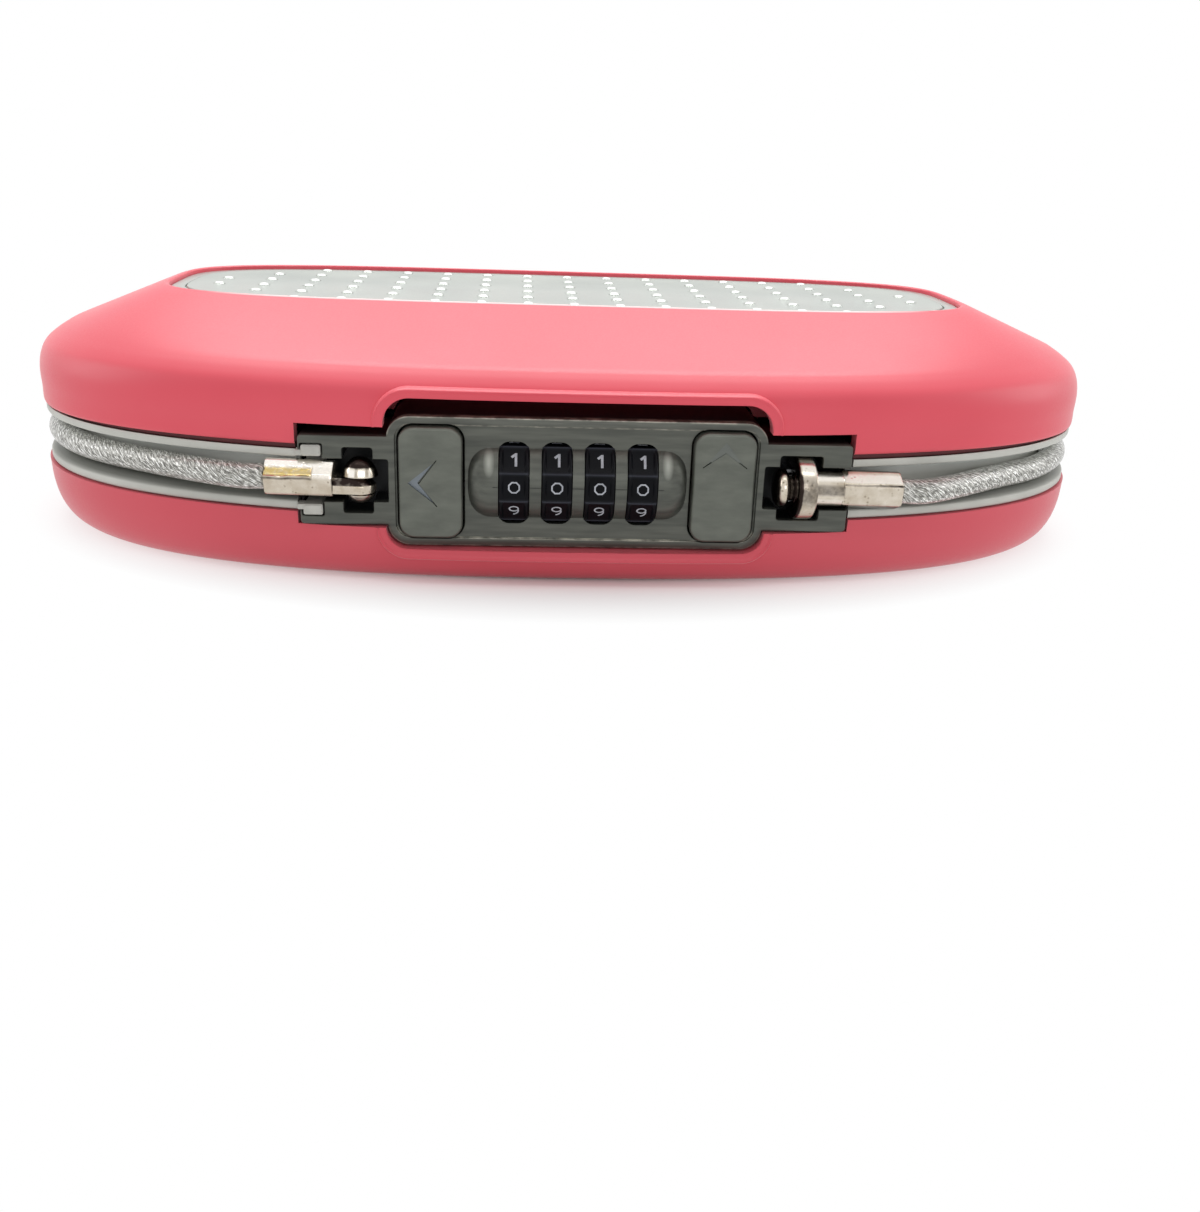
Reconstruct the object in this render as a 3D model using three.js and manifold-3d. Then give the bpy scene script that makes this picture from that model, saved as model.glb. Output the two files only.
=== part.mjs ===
// Portable car safe: an oval two-shell case with a cable stored in a groove round its band
// and a four-wheel combination lock in front. Millimetres, +Z up, lock towards -Y.
// The origin is the centre of the flat bottom.
import * as THREE from 'three';
import { mergeVertices } from 'three/addons/utils/BufferGeometryUtils.js';
import Module from 'manifold-3d';

const wasm = await Module();
wasm.setup();

// Case
const caseLength = 242;
const caseDepth = 135;
const outlineExponent = 2.59;
const baseHeight = 14.3;
const bandHeight = 13.4;
const lidHeight = 24.3;
const wall = 2.5;
const seamGap = 0.3;
const fitGap = 0.3;
const overrun = 1;
const outlineSteps = 48;

// Base and lid profiles: shares of a height and of the inset reached there
const baseRoundInset = 5.5;
const baseOuterShares = [[0, 1], [0.06, 0.77], [0.18, 0.48], [0.38, 0.22], [0.65, 0.06], [1, 0]];
const baseInnerShares = [[0, 1], [0.16, 0.5], [0.5, 0.1], [1, 0]];
const lidEdgeHeight = 15.3;
const lidEdgeInset = 6.2;
const lidTuck = 1.4;
const lidOuterShares = [[0.2, 0.02], [0.41, 0], [0.62, 0.08], [0.78, 0.27], [0.9, 0.61], [1, 1]];
const lidWallTopShare = 0.6;
const shoulderShares = [0.5, 1];

// Inlay plate and the rim round it
const inlayLength = 183;
const inlayDepth = 62;
const inlayExponent = 3.86;
const inlayRecess = 2.2;
const inlayThickness = 1.1;
const inlayBorder = 3.4;
const inlayFieldDrop = 0.25;
const rimWidth = 1.7;
const rimChamfer = 0.4;
const ceilingThickness = 2.2;
const dimplePitch = 10.2;
const dimpleRadius = 1.7;
const dimpleHeight = 0.55;
const dimpleSides = 6;
const dimpleColumns = [2, 4, 6, 6, 6, 6, 6, 6, 6, 6, 6, 6, 6, 6, 6, 4, 2];

// Band and its groove
const bandInset = 0.5;
const bandChamfer = 0.5;
const grooveHeight = 7.7;
const grooveDepth = 5.7;
const bandWeb = 1.8;
const tongueThickness = 1.4;
const tongueDrop = 1.8;

// Cable and its fittings
const cableDiameter = 5.2;
const cableInset = 3;
const cableSteps = 54;
const cableSides = 4;
const cableEndAngle = 47;
const cableRoutePoints = 40;
const fittingTilt = THREE.MathUtils.degToRad(4);
const ferruleFlats = 7;
const fittingDepth = 1;

// Lock housing: places are measured from its face (into the case) and its centre
const lockRecess = 2.5;
const plateWidth = 76;
const plateHeight = 26.5;
const plateCorner = 4.5;
const wingLength = 17.3;
const wingSpan = plateWidth + 2 * wingLength;
const wingHeight = 18.2;
const wingCorner = 0.8;
const lockFront = 2.5;
const lockWall = 1.5;
const lockSideWall = 1.8;
const bezelWidth = 1.7;
const fieldDrop = 0.5;
const coverThickness = 2;
const bottomGap = 0.3;
const lidNotchRise = 2.8;
const lidWingRise = 2.5;
const notchSideGap = 0.7;
const lipWidth = 3.4;
const lipProud = 0.4;
const lipDepth = 3.7;
const lipCorner = 6;

// Number wheels
const dialCount = 4;
const dialPitchShare = 0.1124;
const dialWidthShare = 0.703;
const dialPitch = plateWidth * dialPitchShare;
const dialWidth = dialPitch * dialWidthShare;
const dialFacets = 10;
const dialFacetShare = 0.219;
const dialFacetHeight = plateHeight * dialFacetShare;
const dialHollow = 0.22;
const dialBevel = 0.45;
const dialCutGap = 0.75;
const slotShare = 0.638;
const slotHeight = plateHeight * slotShare;
const slotCorner = 1.5;
const slotSideGap = 0.35;
const bossShares = [0.3333, 0.579];
const bossRadius = plateHeight * bossShares[0];
const bossLength = plateWidth * bossShares[1];
const bossProud = 3.13;
const dialAxisDepth = bossRadius - bossProud;
const dialRadius = dialFacetHeight / (2 * Math.sin(Math.PI / dialFacets));
const bossRound = 4.7;
const spindleRadius = 1.5;
const sleeveRadius = 4.5;
const sleeveWidth = dialPitch - dialWidth - 2 * fitGap;
const gateWidth = 1.8;
const gateDepth = 1.5;
const gateTurns = [3, 7, 2, 8];
const cheekThickness = 1.6;
const cheekGap = 0.4;
const cheekDepth = dialAxisDepth + dialRadius;
const mechanismDepth = 5.5;
const lockDepth = cheekDepth + mechanismDepth;

// Buttons and what they move
const buttonShare = 0.166;
const buttonEdge = 2.4;
const buttonMargin = 1.9;
const buttonWidth = plateWidth * buttonShare;
const buttonHeight = plateHeight - 2 * buttonMargin;
const buttonCentre = plateWidth / 2 - buttonEdge - buttonWidth / 2;
const buttonCorner = 3;
const buttonProud = 1.3;
const buttonBack = 4.3;
const buttonGap = 0.35;
const buttonBevel = 0.4;
const buttonTravel = 2.5;
const springRadius = 2.2;
const springWire = 0.35;
const springTurns = 5;
const springSteps = 7;
const springSides = 2;
const rodHalf = 2;
const barDepth = cheekDepth + 2 * fitGap;
const barThickness = 2;
const barHeight = 3;
const barOffset = 5.7;
const wedgeReach = 8.4;

// Pockets in the wings
const pocketDepth = 8;
const pocketFloor = 2;
const channelHeight = 8.8;
const pocketHeight = 13.4;
const pocketWidth = 6;
const flangePocketWidth = 9;
const pocketFromPlate = 2.7;
const pocketStart = plateWidth / 2 + pocketFromPlate;
const narrowStart = plateWidth / 2 - fitGap;

// Lock cover, catch, latch and reset lever
const coverBoss = 2.7;
const coverBossIn = 2.5;
const coverBossZ = 4.6;
const coverHole = 1.5;
const coverShank = 1.15;
const coverHead = 2.4;
const catchThickness = 0.9;
const catchHalf = 3.4;
const catchFront = 2.2;
const latchLead = 13.3;
const latchTail = 4.1;
const latchSpringRoom = 8.1;
const neckLead = 3.8;
const neckWidth = 2.5;
const latchEnd = buttonCentre + latchTail;
const latchSpringEnd = latchEnd + latchSpringRoom;
const latchNeck = [buttonCentre - neckLead, buttonCentre - neckLead + neckWidth];
const noseHalf = 1.2;
const noseDepth = 2.1;
const resetTravel = 4;
const resetShank = [1.8, 0.7];
const resetKnob = [4, 1.6, 2.4];
const resetFoot = [3.4, 1.3, 2.1];
const resetDrop = 3.75;
const resetOffset = plateHeight / 2 - resetDrop;
const tabGap = 0.9;
const tabHalf = 4;

// Right fitting: a plug with a head, a neck and a wide flange
const flangeFromPlate = 8.2;
const flangeX = plateWidth / 2 + flangeFromPlate;
const flangeRadius = 6.45;
const flangeHalf = 2.1;
const neckRadius = 2.9;
const neckLength = 1.7;
const headRadius = 3.8;
const headLength = 2.4;
const headRound = 0.6;
const collarRadius = 3.75;
const collarLength = 6;
const ferruleLength = 12.6;

// Left fitting: a tongue pinned in a swivelling ball, and the clip that holds its ferrule
const ballFromPlate = 5.3;
const ballX = -plateWidth / 2 - ballFromPlate;
const ballRadius = 3.4;
const ballHeight = 4.5;
const tongueHalf = 3;
const tongueHeight = 2.2;
const clevisDrop = 1.3;
const tongueReach = 7;
const leftFerruleStart = 6.4;
const leftFerruleLength = 12.2;
const ferruleNeck = 3.2;
const pinThin = 1;
const clipFromEnd = 2.6;
const clipX = clipFromEnd - wingSpan / 2;
const clipWidth = 3.8;
const clipOuter = 7.1;
const clipJaw = 2.2;
const clipNub = 0.5;
const clipWeb = 1.4;
const clipProud = 0.4;

// Fixing points, in plan
const bossSize = 3.5;
const screwShank = 1.4;
const screwHead = 2.9;
const screwHeadHeight = 1.7;
const screwHole = screwShank + fitGap;
const earThickness = 2;
const earRadius = 4.5;
const postIn = 17;
const endPostShare = 0.163;
const rearPostShare = 0.207;
const frameWallReach = 9;
const housingEarOut = 4.5;
const housingEarIn = 4;
const housingEarX = wingSpan / 2 + housingEarOut;
const housingEarDepth = lockDepth - housingEarIn;
const housingEarDrop = 5.8;

// Hinge along the rear seam
const hingeRadius = 2.5;
const pinRadius = 1.1;
const hingeOut = 1.2;
const hingeLift = 0.3;
const knuckleLength = 12;
const knuckleGap = 0.4;
const knuckleCount = 5;
const hingeArm = 5;

// Striker on the lid and the liners
const strikerLead = 10.3;
const strikerX = buttonCentre - strikerLead;
const strikerWidth = 10;
const strikerThickness = 1.5;
const strikerBehindCover = 0.6;
const strikerFoot = 10.5;
const strikerFootWidth = 20;
const strikerFootThickness = 1.4;
const strikerScrewSpacing = 13;
const strikerScrewBack = 6.6;
const strikerPostDrop = 3.6;
const strikerPostRadius = 3;
const strikerHook = 3;
const strikerTail = 3.4;
const curtainShare = 0.99;
const linerThickness = 1.8;
const linerInset = 1;

const material = (color, roughness, metalness) =>
  new THREE.MeshStandardMaterial({ color, roughness, metalness });
const finishes = {
  shell: () => material(0xe4566a, 0.5, 0),
  band: () => material(0xb4b8b2, 0.55, 0),
  lock: () => material(0x6b6c66, 0.4, 0.5),
  button: () => material(0x7a7c74, 0.4, 0.5),
  dial: () => material(0x1b1c24, 0.4, 0),
  nickel: () => material(0xcfcabc, 0.18, 1),
  steel: () => material(0x9a9c9e, 0.35, 1),
  spring: () => material(0xb9bbbd, 0.3, 1),
  brass: () => material(0xc8a45a, 0.35, 1),
  clip: () => material(0xb5b4ac, 0.5, 0),
  cable: () => material(0xb9bbb8, 0.3, 0.4),
  inlay: () => material(0xc9cfcc, 0.35, 0.8),
  cover: () => material(0x2b2c2e, 0.6, 0),
  foam: () => material(0x2f3033, 0.9, 0),
};

// A geometry as a manifold-3d solid.
function solid(geometry) {
  const bare = geometry.index ? geometry.toNonIndexed() : geometry.clone();
  bare.deleteAttribute('normal');
  bare.deleteAttribute('uv');
  const merged = mergeVertices(bare, 1e-4);
  return new wasm.Manifold(new wasm.Mesh({
    numProp: 3,
    vertProperties: new Float32Array(merged.attributes.position.array),
    triVerts: new Uint32Array(merged.index.array),
  }));
}

// A manifold-3d solid as a three.js geometry.
function geometryOf(body) {
  const made = body.getMesh();
  const geometry = new THREE.BufferGeometry();
  geometry.setAttribute('position', new THREE.BufferAttribute(made.vertProperties, made.numProp));
  geometry.setIndex(new THREE.BufferAttribute(made.triVerts, 1));
  geometry.computeVertexNormals();
  return geometry;
}

const joinAll = (bodies) => bodies.reduce((sum, body) => sum.add(body));
const cutAll = (body, cutters) => cutters.reduce((rest, cutter) => rest.subtract(cutter), body);

function piece(name, body, finish) {
  const mesh = new THREE.Mesh(body.getMesh ? geometryOf(body) : body, finish());
  mesh.name = name;
  return mesh;
}

// A box between two corners.
function box(low, high) {
  const size = high.map((value, axis) => value - low[axis]);
  const geometry = new THREE.BoxGeometry(...size);
  geometry.translate(...size.map((value, axis) => low[axis] + value / 2));
  return solid(geometry);
}

// A cylinder along an axis ('x', 'y' or 'z') between two places on it.
function rod(radius, axis, from, to, centre = [0, 0, 0], sides = 12) {
  const geometry = new THREE.CylinderGeometry(radius, radius, to - from, sides);
  if (axis === 'x') geometry.rotateZ(-Math.PI / 2);
  if (axis === 'z') geometry.rotateX(Math.PI / 2);
  const shift = [...centre];
  shift['xyz'.indexOf(axis)] = (from + to) / 2;
  geometry.translate(...shift);
  return solid(geometry);
}

// A flat outline drawn in X and Z, as thick as from one depth to the other along Y.
function frontPlate(shape, from, to, curveSegments = 2) {
  const geometry = new THREE.ExtrudeGeometry(shape, { depth: to - from, bevelEnabled: false, curveSegments });
  geometry.rotateX(Math.PI / 2);
  geometry.translate(0, to, 0);
  return solid(geometry);
}

// A flat outline drawn in Y and Z, extruded along X between two places.
function sidePlate(points, from, to) {
  const shape = new THREE.Shape(points.map(([y, z]) => new THREE.Vector2(y, z)));
  const geometry = new THREE.ExtrudeGeometry(shape, { depth: to - from, bevelEnabled: false });
  geometry.rotateY(Math.PI / 2);
  geometry.rotateX(Math.PI / 2);
  geometry.translate(from, 0, 0);
  return solid(geometry);
}

// A flat outline drawn in X and Y, extruded up between two heights.
function floorPlate(points, from, to) {
  const shape = new THREE.Shape(points.map(([x, y]) => new THREE.Vector2(x, y)));
  const geometry = new THREE.ExtrudeGeometry(shape, { depth: to - from, bevelEnabled: false });
  geometry.translate(0, 0, from);
  return solid(geometry);
}

function roundedRect(width, height, radius, centreX = 0, centreZ = 0) {
  const right = width / 2 - radius;
  const top = height / 2 - radius;
  const shape = new THREE.Shape();
  shape.absarc(centreX + right, centreZ + top, radius, 0, Math.PI / 2);
  shape.absarc(centreX - right, centreZ + top, radius, Math.PI / 2, Math.PI);
  shape.absarc(centreX - right, centreZ - top, radius, Math.PI, 1.5 * Math.PI);
  shape.absarc(centreX + right, centreZ - top, radius, 1.5 * Math.PI, 2 * Math.PI);
  return shape;
}

// One level ring of a superellipse.
function ovalRing(halfLength, halfDepth, exponent, z, count = outlineSteps) {
  const power = (value) => Math.sign(value) * Math.abs(value) ** (2 / exponent);
  return Array.from({ length: count }, (unused, step) => {
    const angle = (2 * Math.PI * step) / count;
    return new THREE.Vector3(halfLength * power(Math.cos(angle)), halfDepth * power(Math.sin(angle)), z);
  });
}

const caseRing = (inset, z) => ovalRing(caseLength / 2 - inset, caseDepth / 2 - inset, outlineExponent, z);

// Skin through rings of equal counts: an open stack gets flat caps, a looped one closes on itself.
function loftGeometry(rings, looped = false) {
  const count = rings[0].length;
  const points = rings.flat();
  const index = [];
  const bands = looped ? rings.length : rings.length - 1;
  for (let band = 0; band < bands; band += 1) {
    const low = band * count;
    const high = ((band + 1) % rings.length) * count;
    for (let i = 0; i < count; i += 1) {
      const j = (i + 1) % count;
      index.push(low + i, low + j, high + j, low + i, high + j, high + i);
    }
  }
  if (!looped) {
    const last = (rings.length - 1) * count;
    const middle = (ring) => ring.reduce((sum, p) => sum.add(p), new THREE.Vector3()).divideScalar(count);
    points.push(middle(rings[0]), middle(rings.at(-1)));
    for (let i = 0; i < count; i += 1) {
      const j = (i + 1) % count;
      index.push(points.length - 2, j, i, points.length - 1, last + i, last + j);
    }
  }
  const geometry = new THREE.BufferGeometry();
  const places = points.flatMap((p) => [p.x, p.y, p.z]);
  geometry.setAttribute('position', new THREE.Float32BufferAttribute(places, 3));
  geometry.setIndex(index);
  return geometry;
}

const loft = (rings, looped) => solid(loftGeometry(rings, looped));

// A revolved profile of [radius, height] points about X.
function turnedX(profile, sides) {
  const geometry = new THREE.LatheGeometry(profile.map(([r, x]) => new THREE.Vector2(r, x)), sides);
  geometry.rotateZ(-Math.PI / 2);
  return solid(geometry);
}

// A compression spring along Y or X: one wire on a helix.
function coilSpring(length, radius, wire, turns) {
  class Helix extends THREE.Curve {
    getPoint(share) {
      const angle = 2 * Math.PI * turns * share;
      const along = share * (length - 2 * wire) + wire;
      return new THREE.Vector3(radius * Math.cos(angle), along, radius * Math.sin(angle));
    }
  }
  const section = new THREE.Shape();
  section.absarc(0, 0, wire, 0, 2 * Math.PI);
  const geometry = new THREE.ExtrudeGeometry(section, {
    steps: turns * springSteps, extrudePath: new Helix(), curveSegments: springSides, bevelEnabled: false,
  });
  return solid(geometry);
}

const bandBottom = baseHeight;
const bandTop = baseHeight + bandHeight;
const caseHeight = bandTop + lidHeight;
const bandMiddle = bandBottom + bandHeight / 2;
const lockFaceY = -(caseDepth / 2 - lockRecess);
const endPosts = [[1, 1], [-1, 1], [1, -1], [-1, -1]].map(([sideX, sideY]) =>
  [sideX * (caseLength / 2 - postIn), sideY * caseDepth * endPostShare]);
const rearPosts = [1, -1].map((side) => [side * caseLength * rearPostShare, caseDepth / 2 - postIn]);
const framePosts = [...endPosts, ...rearPosts];
const housingPosts = [-housingEarX, housingEarX].map((x) => [x, lockFaceY + housingEarDepth]);
const hingeY = caseDepth / 2 + hingeOut;
const hingeZ = bandTop + hingeLift;
const hingeLength = knuckleCount * knuckleLength;
const knuckleStart = (step) => (step - knuckleCount / 2) * knuckleLength;

// Knuckles of one side of the hinge: even steps belong to the band, odd ones to the lid.
function knuckles(first, armLow, armHigh) {
  const bodies = [];
  for (let step = first; step < knuckleCount; step += 2) {
    const from = knuckleStart(step) + knuckleGap / 2;
    const to = knuckleStart(step + 1) - knuckleGap / 2;
    bodies.push(rod(hingeRadius, 'x', from, to, [0, hingeY, hingeZ]));
    bodies.push(box([from, hingeY - hingeArm, armLow], [to, hingeY, armHigh]));
  }
  return joinAll(bodies);
}

function knuckleCuts(first) {
  const bodies = [];
  for (let step = first; step < knuckleCount; step += 2) {
    const from = knuckleStart(step) - knuckleGap / 2;
    const to = knuckleStart(step + 1) + knuckleGap / 2;
    bodies.push(rod(hingeRadius + knuckleGap, 'x', from, to, [0, hingeY, hingeZ]));
  }
  return joinAll(bodies);
}

const pinBore = () =>
  rod(pinRadius + fitGap, 'x', -hingeLength, hingeLength, [0, hingeY, hingeZ]);

// Front notches for the lock
const plateTop = bandMiddle + plateHeight / 2;
const plateBottom = bandMiddle - plateHeight / 2;
const notchFront = -(caseDepth / 2 + 2 * wall);

function frontNotch(top, bottom, side, wingTop, wingBottom, corner, reach) {
  const centre = (top + bottom) / 2;
  const middle = frontPlate(roundedRect(2 * side, top - bottom, corner, 0, centre), notchFront, reach);
  const wings = box([-wingSpan / 2 - notchSideGap, notchFront, wingBottom],
    [wingSpan / 2 + notchSideGap, reach, wingTop]);
  return middle.add(wings);
}

const lipFront = -(caseDepth / 2 + lipProud);
const lipBack = lipFront + lipDepth;

// The raised lip: a flat rounded pad round the lock, kept where the shell's own heights are.
function lockLip(top, bottom, low, high) {
  const halfWidth = plateWidth / 2 + notchSideGap + lipWidth;
  const centre = (top + bottom) / 2;
  const pad = frontPlate(roundedRect(2 * halfWidth, top - bottom, lipCorner, 0, centre), lipFront, lipBack);
  const keep = box([-halfWidth, lipFront - overrun, low], [halfWidth, lipBack + overrun, high]);
  return pad.intersect(keep);
}

function baseShell() {
  const top = baseHeight - seamGap / 2;
  const innerInset = baseRoundInset + wall;
  const outer = baseOuterShares.map(([up, out]) => caseRing(baseRoundInset * out, top * up));
  const inner = baseInnerShares.toReversed().map(([up, out]) =>
    caseRing(wall + (innerInset - wall) * out, wall + (top - wall) * up));
  let body = loft([...outer, ...inner]);
  const lipBottom = plateBottom - bottomGap - lipWidth;
  body = body.add(lockLip(plateTop, lipBottom, lipBottom - overrun, top));
  const posts = framePosts.map(([x, y]) => [x, y, bandBottom + seamGap / 2 - fitGap]);
  const earUnder = bandMiddle - housingEarDrop - earThickness / 2;
  housingPosts.forEach(([x, y]) => posts.push([x, y, earUnder - fitGap]));
  posts.forEach(([x, y, z]) => {
    body = body.add(rod(bossSize, 'z', wall - fitGap, z, [x, y, 0], 12));
    body = body.subtract(rod(screwHole, 'z', 2 * wall, z + overrun, [x, y, 0], 8));
  });
  const notch = frontNotch(bandTop, plateBottom - bottomGap, plateWidth / 2 + bottomGap, bandTop,
    bandMiddle - wingHeight / 2 - bottomGap, plateCorner, lockFaceY + lockDepth / 2);
  return piece('base_shell', body.subtract(notch), finishes.shell);
}

function rimFrame() {
  const low = bandBottom + seamGap / 2;
  const high = bandTop - seamGap / 2;
  const grooveLow = bandMiddle - grooveHeight / 2;
  const grooveHigh = bandMiddle + grooveHeight / 2;
  const floorInset = bandInset + grooveDepth;
  const innerInset = floorInset + bandWeb;
  const tongueOuter = wall + 2 * fitGap;
  const tongueInner = tongueOuter + tongueThickness;
  const profile = [
    [bandInset, low], [bandInset, grooveLow - bandChamfer], [bandInset + bandChamfer, grooveLow],
    [floorInset, grooveLow], [floorInset, grooveHigh], [bandInset + bandChamfer, grooveHigh],
    [bandInset, grooveHigh + bandChamfer], [bandInset, high], [innerInset, high], [innerInset, low],
    [tongueInner, low], [tongueInner, low - tongueDrop], [tongueOuter, low - tongueDrop], [tongueOuter, low],
  ];
  let body = loft(profile.map(([inset, z]) => caseRing(inset, z)), true);
  framePosts.forEach(([x, y]) => {
    const atEnd = endPosts.some(([postX, postY]) => postX === x && postY === y);
    const outward = atEnd ? [Math.sign(x), 0] : [0, 1];
    const ear = rod(earRadius, 'z', low, low + earThickness, [x, y, 0], 12);
    const side = [earRadius * Math.abs(outward[1]), earRadius * Math.abs(outward[0])];
    const far = [x + outward[0] * frameWallReach, y + outward[1] * frameWallReach];
    const arm = box([Math.min(x, far[0]) - side[0], Math.min(y, far[1]) - side[1], low],
      [Math.max(x, far[0]) + side[0], Math.max(y, far[1]) + side[1], low + earThickness]);
    body = body.add(ear).add(arm.intersect(loft([caseRing(floorInset + fitGap, low),
      caseRing(floorInset + fitGap, low + earThickness)])));
    body = body.subtract(rod(screwHole, 'z', low - overrun, low + earThickness + overrun, [x, y, 0], 8));
  });
  body = body.add(knuckles(0, grooveHigh + fitGap, high).subtract(pinBore()));
  body = body.subtract(knuckleCuts(1)).subtract(pinBore());
  const front = box([-wingSpan / 2 - notchSideGap, -caseDepth, 0],
    [wingSpan / 2 + notchSideGap, lockFaceY + lockDepth, caseHeight]);
  return piece('rim_frame', body.subtract(front), finishes.band);
}

const mix = THREE.MathUtils.lerp;
const lidBottom = bandTop + seamGap / 2;
const edgeZ = bandTop + lidEdgeHeight;
const rimZ = caseHeight - rimChamfer;
const ceilingZ = caseHeight - inlayRecess - ceilingThickness;
const ceilingShare = (ceilingZ + wall - edgeZ) / (rimZ - edgeZ);
const inlayRing = (grow, z) => ovalRing(inlayLength / 2 + grow, inlayDepth / 2 + grow, inlayExponent, z);

// A ring of the sloped shoulder, at a share of the way from the wall's edge to the rim.
function shoulderRing(share, z, inset = 0) {
  const rimGrow = fitGap + rimWidth + rimChamfer;
  return ovalRing(
    mix(caseLength / 2 - lidEdgeInset, inlayLength / 2 + rimGrow, share) - inset,
    mix(caseDepth / 2 - lidEdgeInset, inlayDepth / 2 + rimGrow, share) - inset,
    mix(outlineExponent, inlayExponent, share), z);
}

// Places of the striker, worked out from the lock's cover
const coverBack = lockDepth + fitGap + coverThickness;
const strikerY = lockFaceY + coverBack + strikerBehindCover;
const strikerScrewY = strikerY + strikerScrewBack;
const strikerScrews = [-1, 1].map((side) => [strikerX + (side * strikerScrewSpacing) / 2, strikerScrewY]);
const strikerPostZ = ceilingZ - strikerPostDrop;
const footTop = strikerPostZ - fitGap;
const footBottom = footTop - strikerFootThickness;

function lidShell() {
  const inner = [
    shoulderRing(ceilingShare, ceilingZ), caseRing(lidEdgeInset + wall, edgeZ - wall),
    caseRing(lidTuck + wall, bandTop + lidEdgeHeight * lidWallTopShare), caseRing(lidTuck + wall, lidBottom),
  ];
  const outer = [
    caseRing(lidTuck, lidBottom),
    ...lidOuterShares.map(([up, out]) => caseRing(lidEdgeInset * out, bandTop + lidEdgeHeight * up)),
    ...shoulderShares.map((share) => shoulderRing(share, mix(edgeZ, rimZ, share))),
    inlayRing(fitGap + rimWidth, caseHeight), inlayRing(fitGap, caseHeight),
    inlayRing(fitGap, caseHeight - inlayRecess),
  ];
  let body = loft([...inner, ...outer]);
  const notchTop = plateTop + lidNotchRise;
  body = body.add(lockLip(notchTop + lipWidth, plateBottom, lidBottom, caseHeight));
  strikerScrews.forEach(([x, y]) => {
    body = body.add(rod(strikerPostRadius, 'z', strikerPostZ, ceilingZ + fitGap, [x, y, 0], 12));
    body = body.subtract(rod(screwHole, 'z', strikerPostZ - overrun, ceilingZ - overrun, [x, y, 0], 8));
  });
  body = body.add(knuckles(1, lidBottom + fitGap, hingeZ + hingeRadius));
  body = body.subtract(knuckleCuts(0)).subtract(pinBore());
  const notch = frontNotch(notchTop, plateBottom, plateWidth / 2 + notchSideGap,
    bandMiddle + wingHeight / 2 + lidWingRise, bandBottom, plateCorner + notchSideGap,
    lockFaceY + lockDepth / 2);
  const curtain = frontPlate(roundedRect(wingSpan, 2 * lidHeight, plateCorner, 0, bandTop + lidHeight),
    lockFaceY + lockDepth - lockWall, lockFaceY + lockDepth);
  const under = [
    frontPlate(roundedRect(plateWidth + 2 * fitGap, plateHeight + 2 * fitGap, plateCorner, 0, bandMiddle),
      -caseDepth, 0),
    box([-wingSpan, -caseDepth, 0], [wingSpan, 0, bandMiddle + wingHeight / 2 + fitGap]),
  ];
  const envelope = loft(outer.slice(0, -3).map((ring) => ring.map((p) => p.clone()
    .multiply(new THREE.Vector3(curtainShare, curtainShare, 1)))));
  body = body.subtract(notch).add(cutAll(curtain.intersect(envelope), under));
  return piece('lid_shell', body, finishes.shell);
}

function inlayPlate() {
  const low = caseHeight - inlayRecess + fitGap;
  const high = low + inlayThickness;
  const field = high - inlayFieldDrop;
  const plate = loft([
    inlayRing(0, low), inlayRing(0, high - inlayFieldDrop), inlayRing(-inlayFieldDrop, high),
    inlayRing(-inlayBorder, high), inlayRing(-inlayBorder - inlayFieldDrop, field),
  ]);
  const dome = [[0, -inlayFieldDrop], [dimpleRadius, -inlayFieldDrop], [0, dimpleHeight]];
  const bodies = [plate];
  dimpleColumns.forEach((rows, column) => {
    for (let row = 0; row < rows; row += 1) {
      const geometry = new THREE.LatheGeometry(dome.map(([r, z]) => new THREE.Vector2(r, z)), dimpleSides);
      geometry.rotateX(Math.PI / 2);
      geometry.translate((column - (dimpleColumns.length - 1) / 2) * dimplePitch,
        (row - (rows - 1) / 2) * dimplePitch, field);
      bodies.push(solid(geometry));
    }
  });
  return piece('inlay_plate', joinAll(bodies), finishes.inlay);
}

function liners() {
  const baseLow = wall + fitGap;
  const inset = baseRoundInset + wall + linerInset;
  const baseSheet = loft([caseRing(inset, baseLow), caseRing(inset, baseLow + linerThickness)]);
  const basePosts = [...framePosts, ...housingPosts].map(([x, y]) =>
    rod(bossSize + 2 * fitGap, 'z', 0, baseHeight, [x, y, 0], 12));
  const lidHigh = ceilingZ - fitGap;
  const lidSheet = loft([shoulderRing(ceilingShare, lidHigh - linerThickness, linerInset),
    shoulderRing(ceilingShare, lidHigh, linerInset)]);
  const lidPosts = strikerScrews.map(([x, y]) =>
    rod(strikerPostRadius + 2 * fitGap, 'z', edgeZ, caseHeight, [x, y, 0], 12));
  return [
    piece('base_liner', cutAll(baseSheet, basePosts), finishes.foam),
    piece('lid_liner', cutAll(lidSheet, lidPosts), finishes.foam),
  ];
}

// A pan-head screw standing on a seat: shank down, head up.
function screw(name, x, y, seat, reach, up = 1) {
  const group = new THREE.Group();
  const body = rod(screwHead, 'z', fitGap, fitGap + screwHeadHeight, [0, 0, 0], 10)
    .add(rod(screwShank, 'z', -reach, fitGap + overrun, [0, 0, 0], 6));
  group.add(piece(name, body, finishes.steel));
  group.position.set(x, y, seat);
  if (up < 0) group.rotation.x = Math.PI;
  return group;
}

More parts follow.
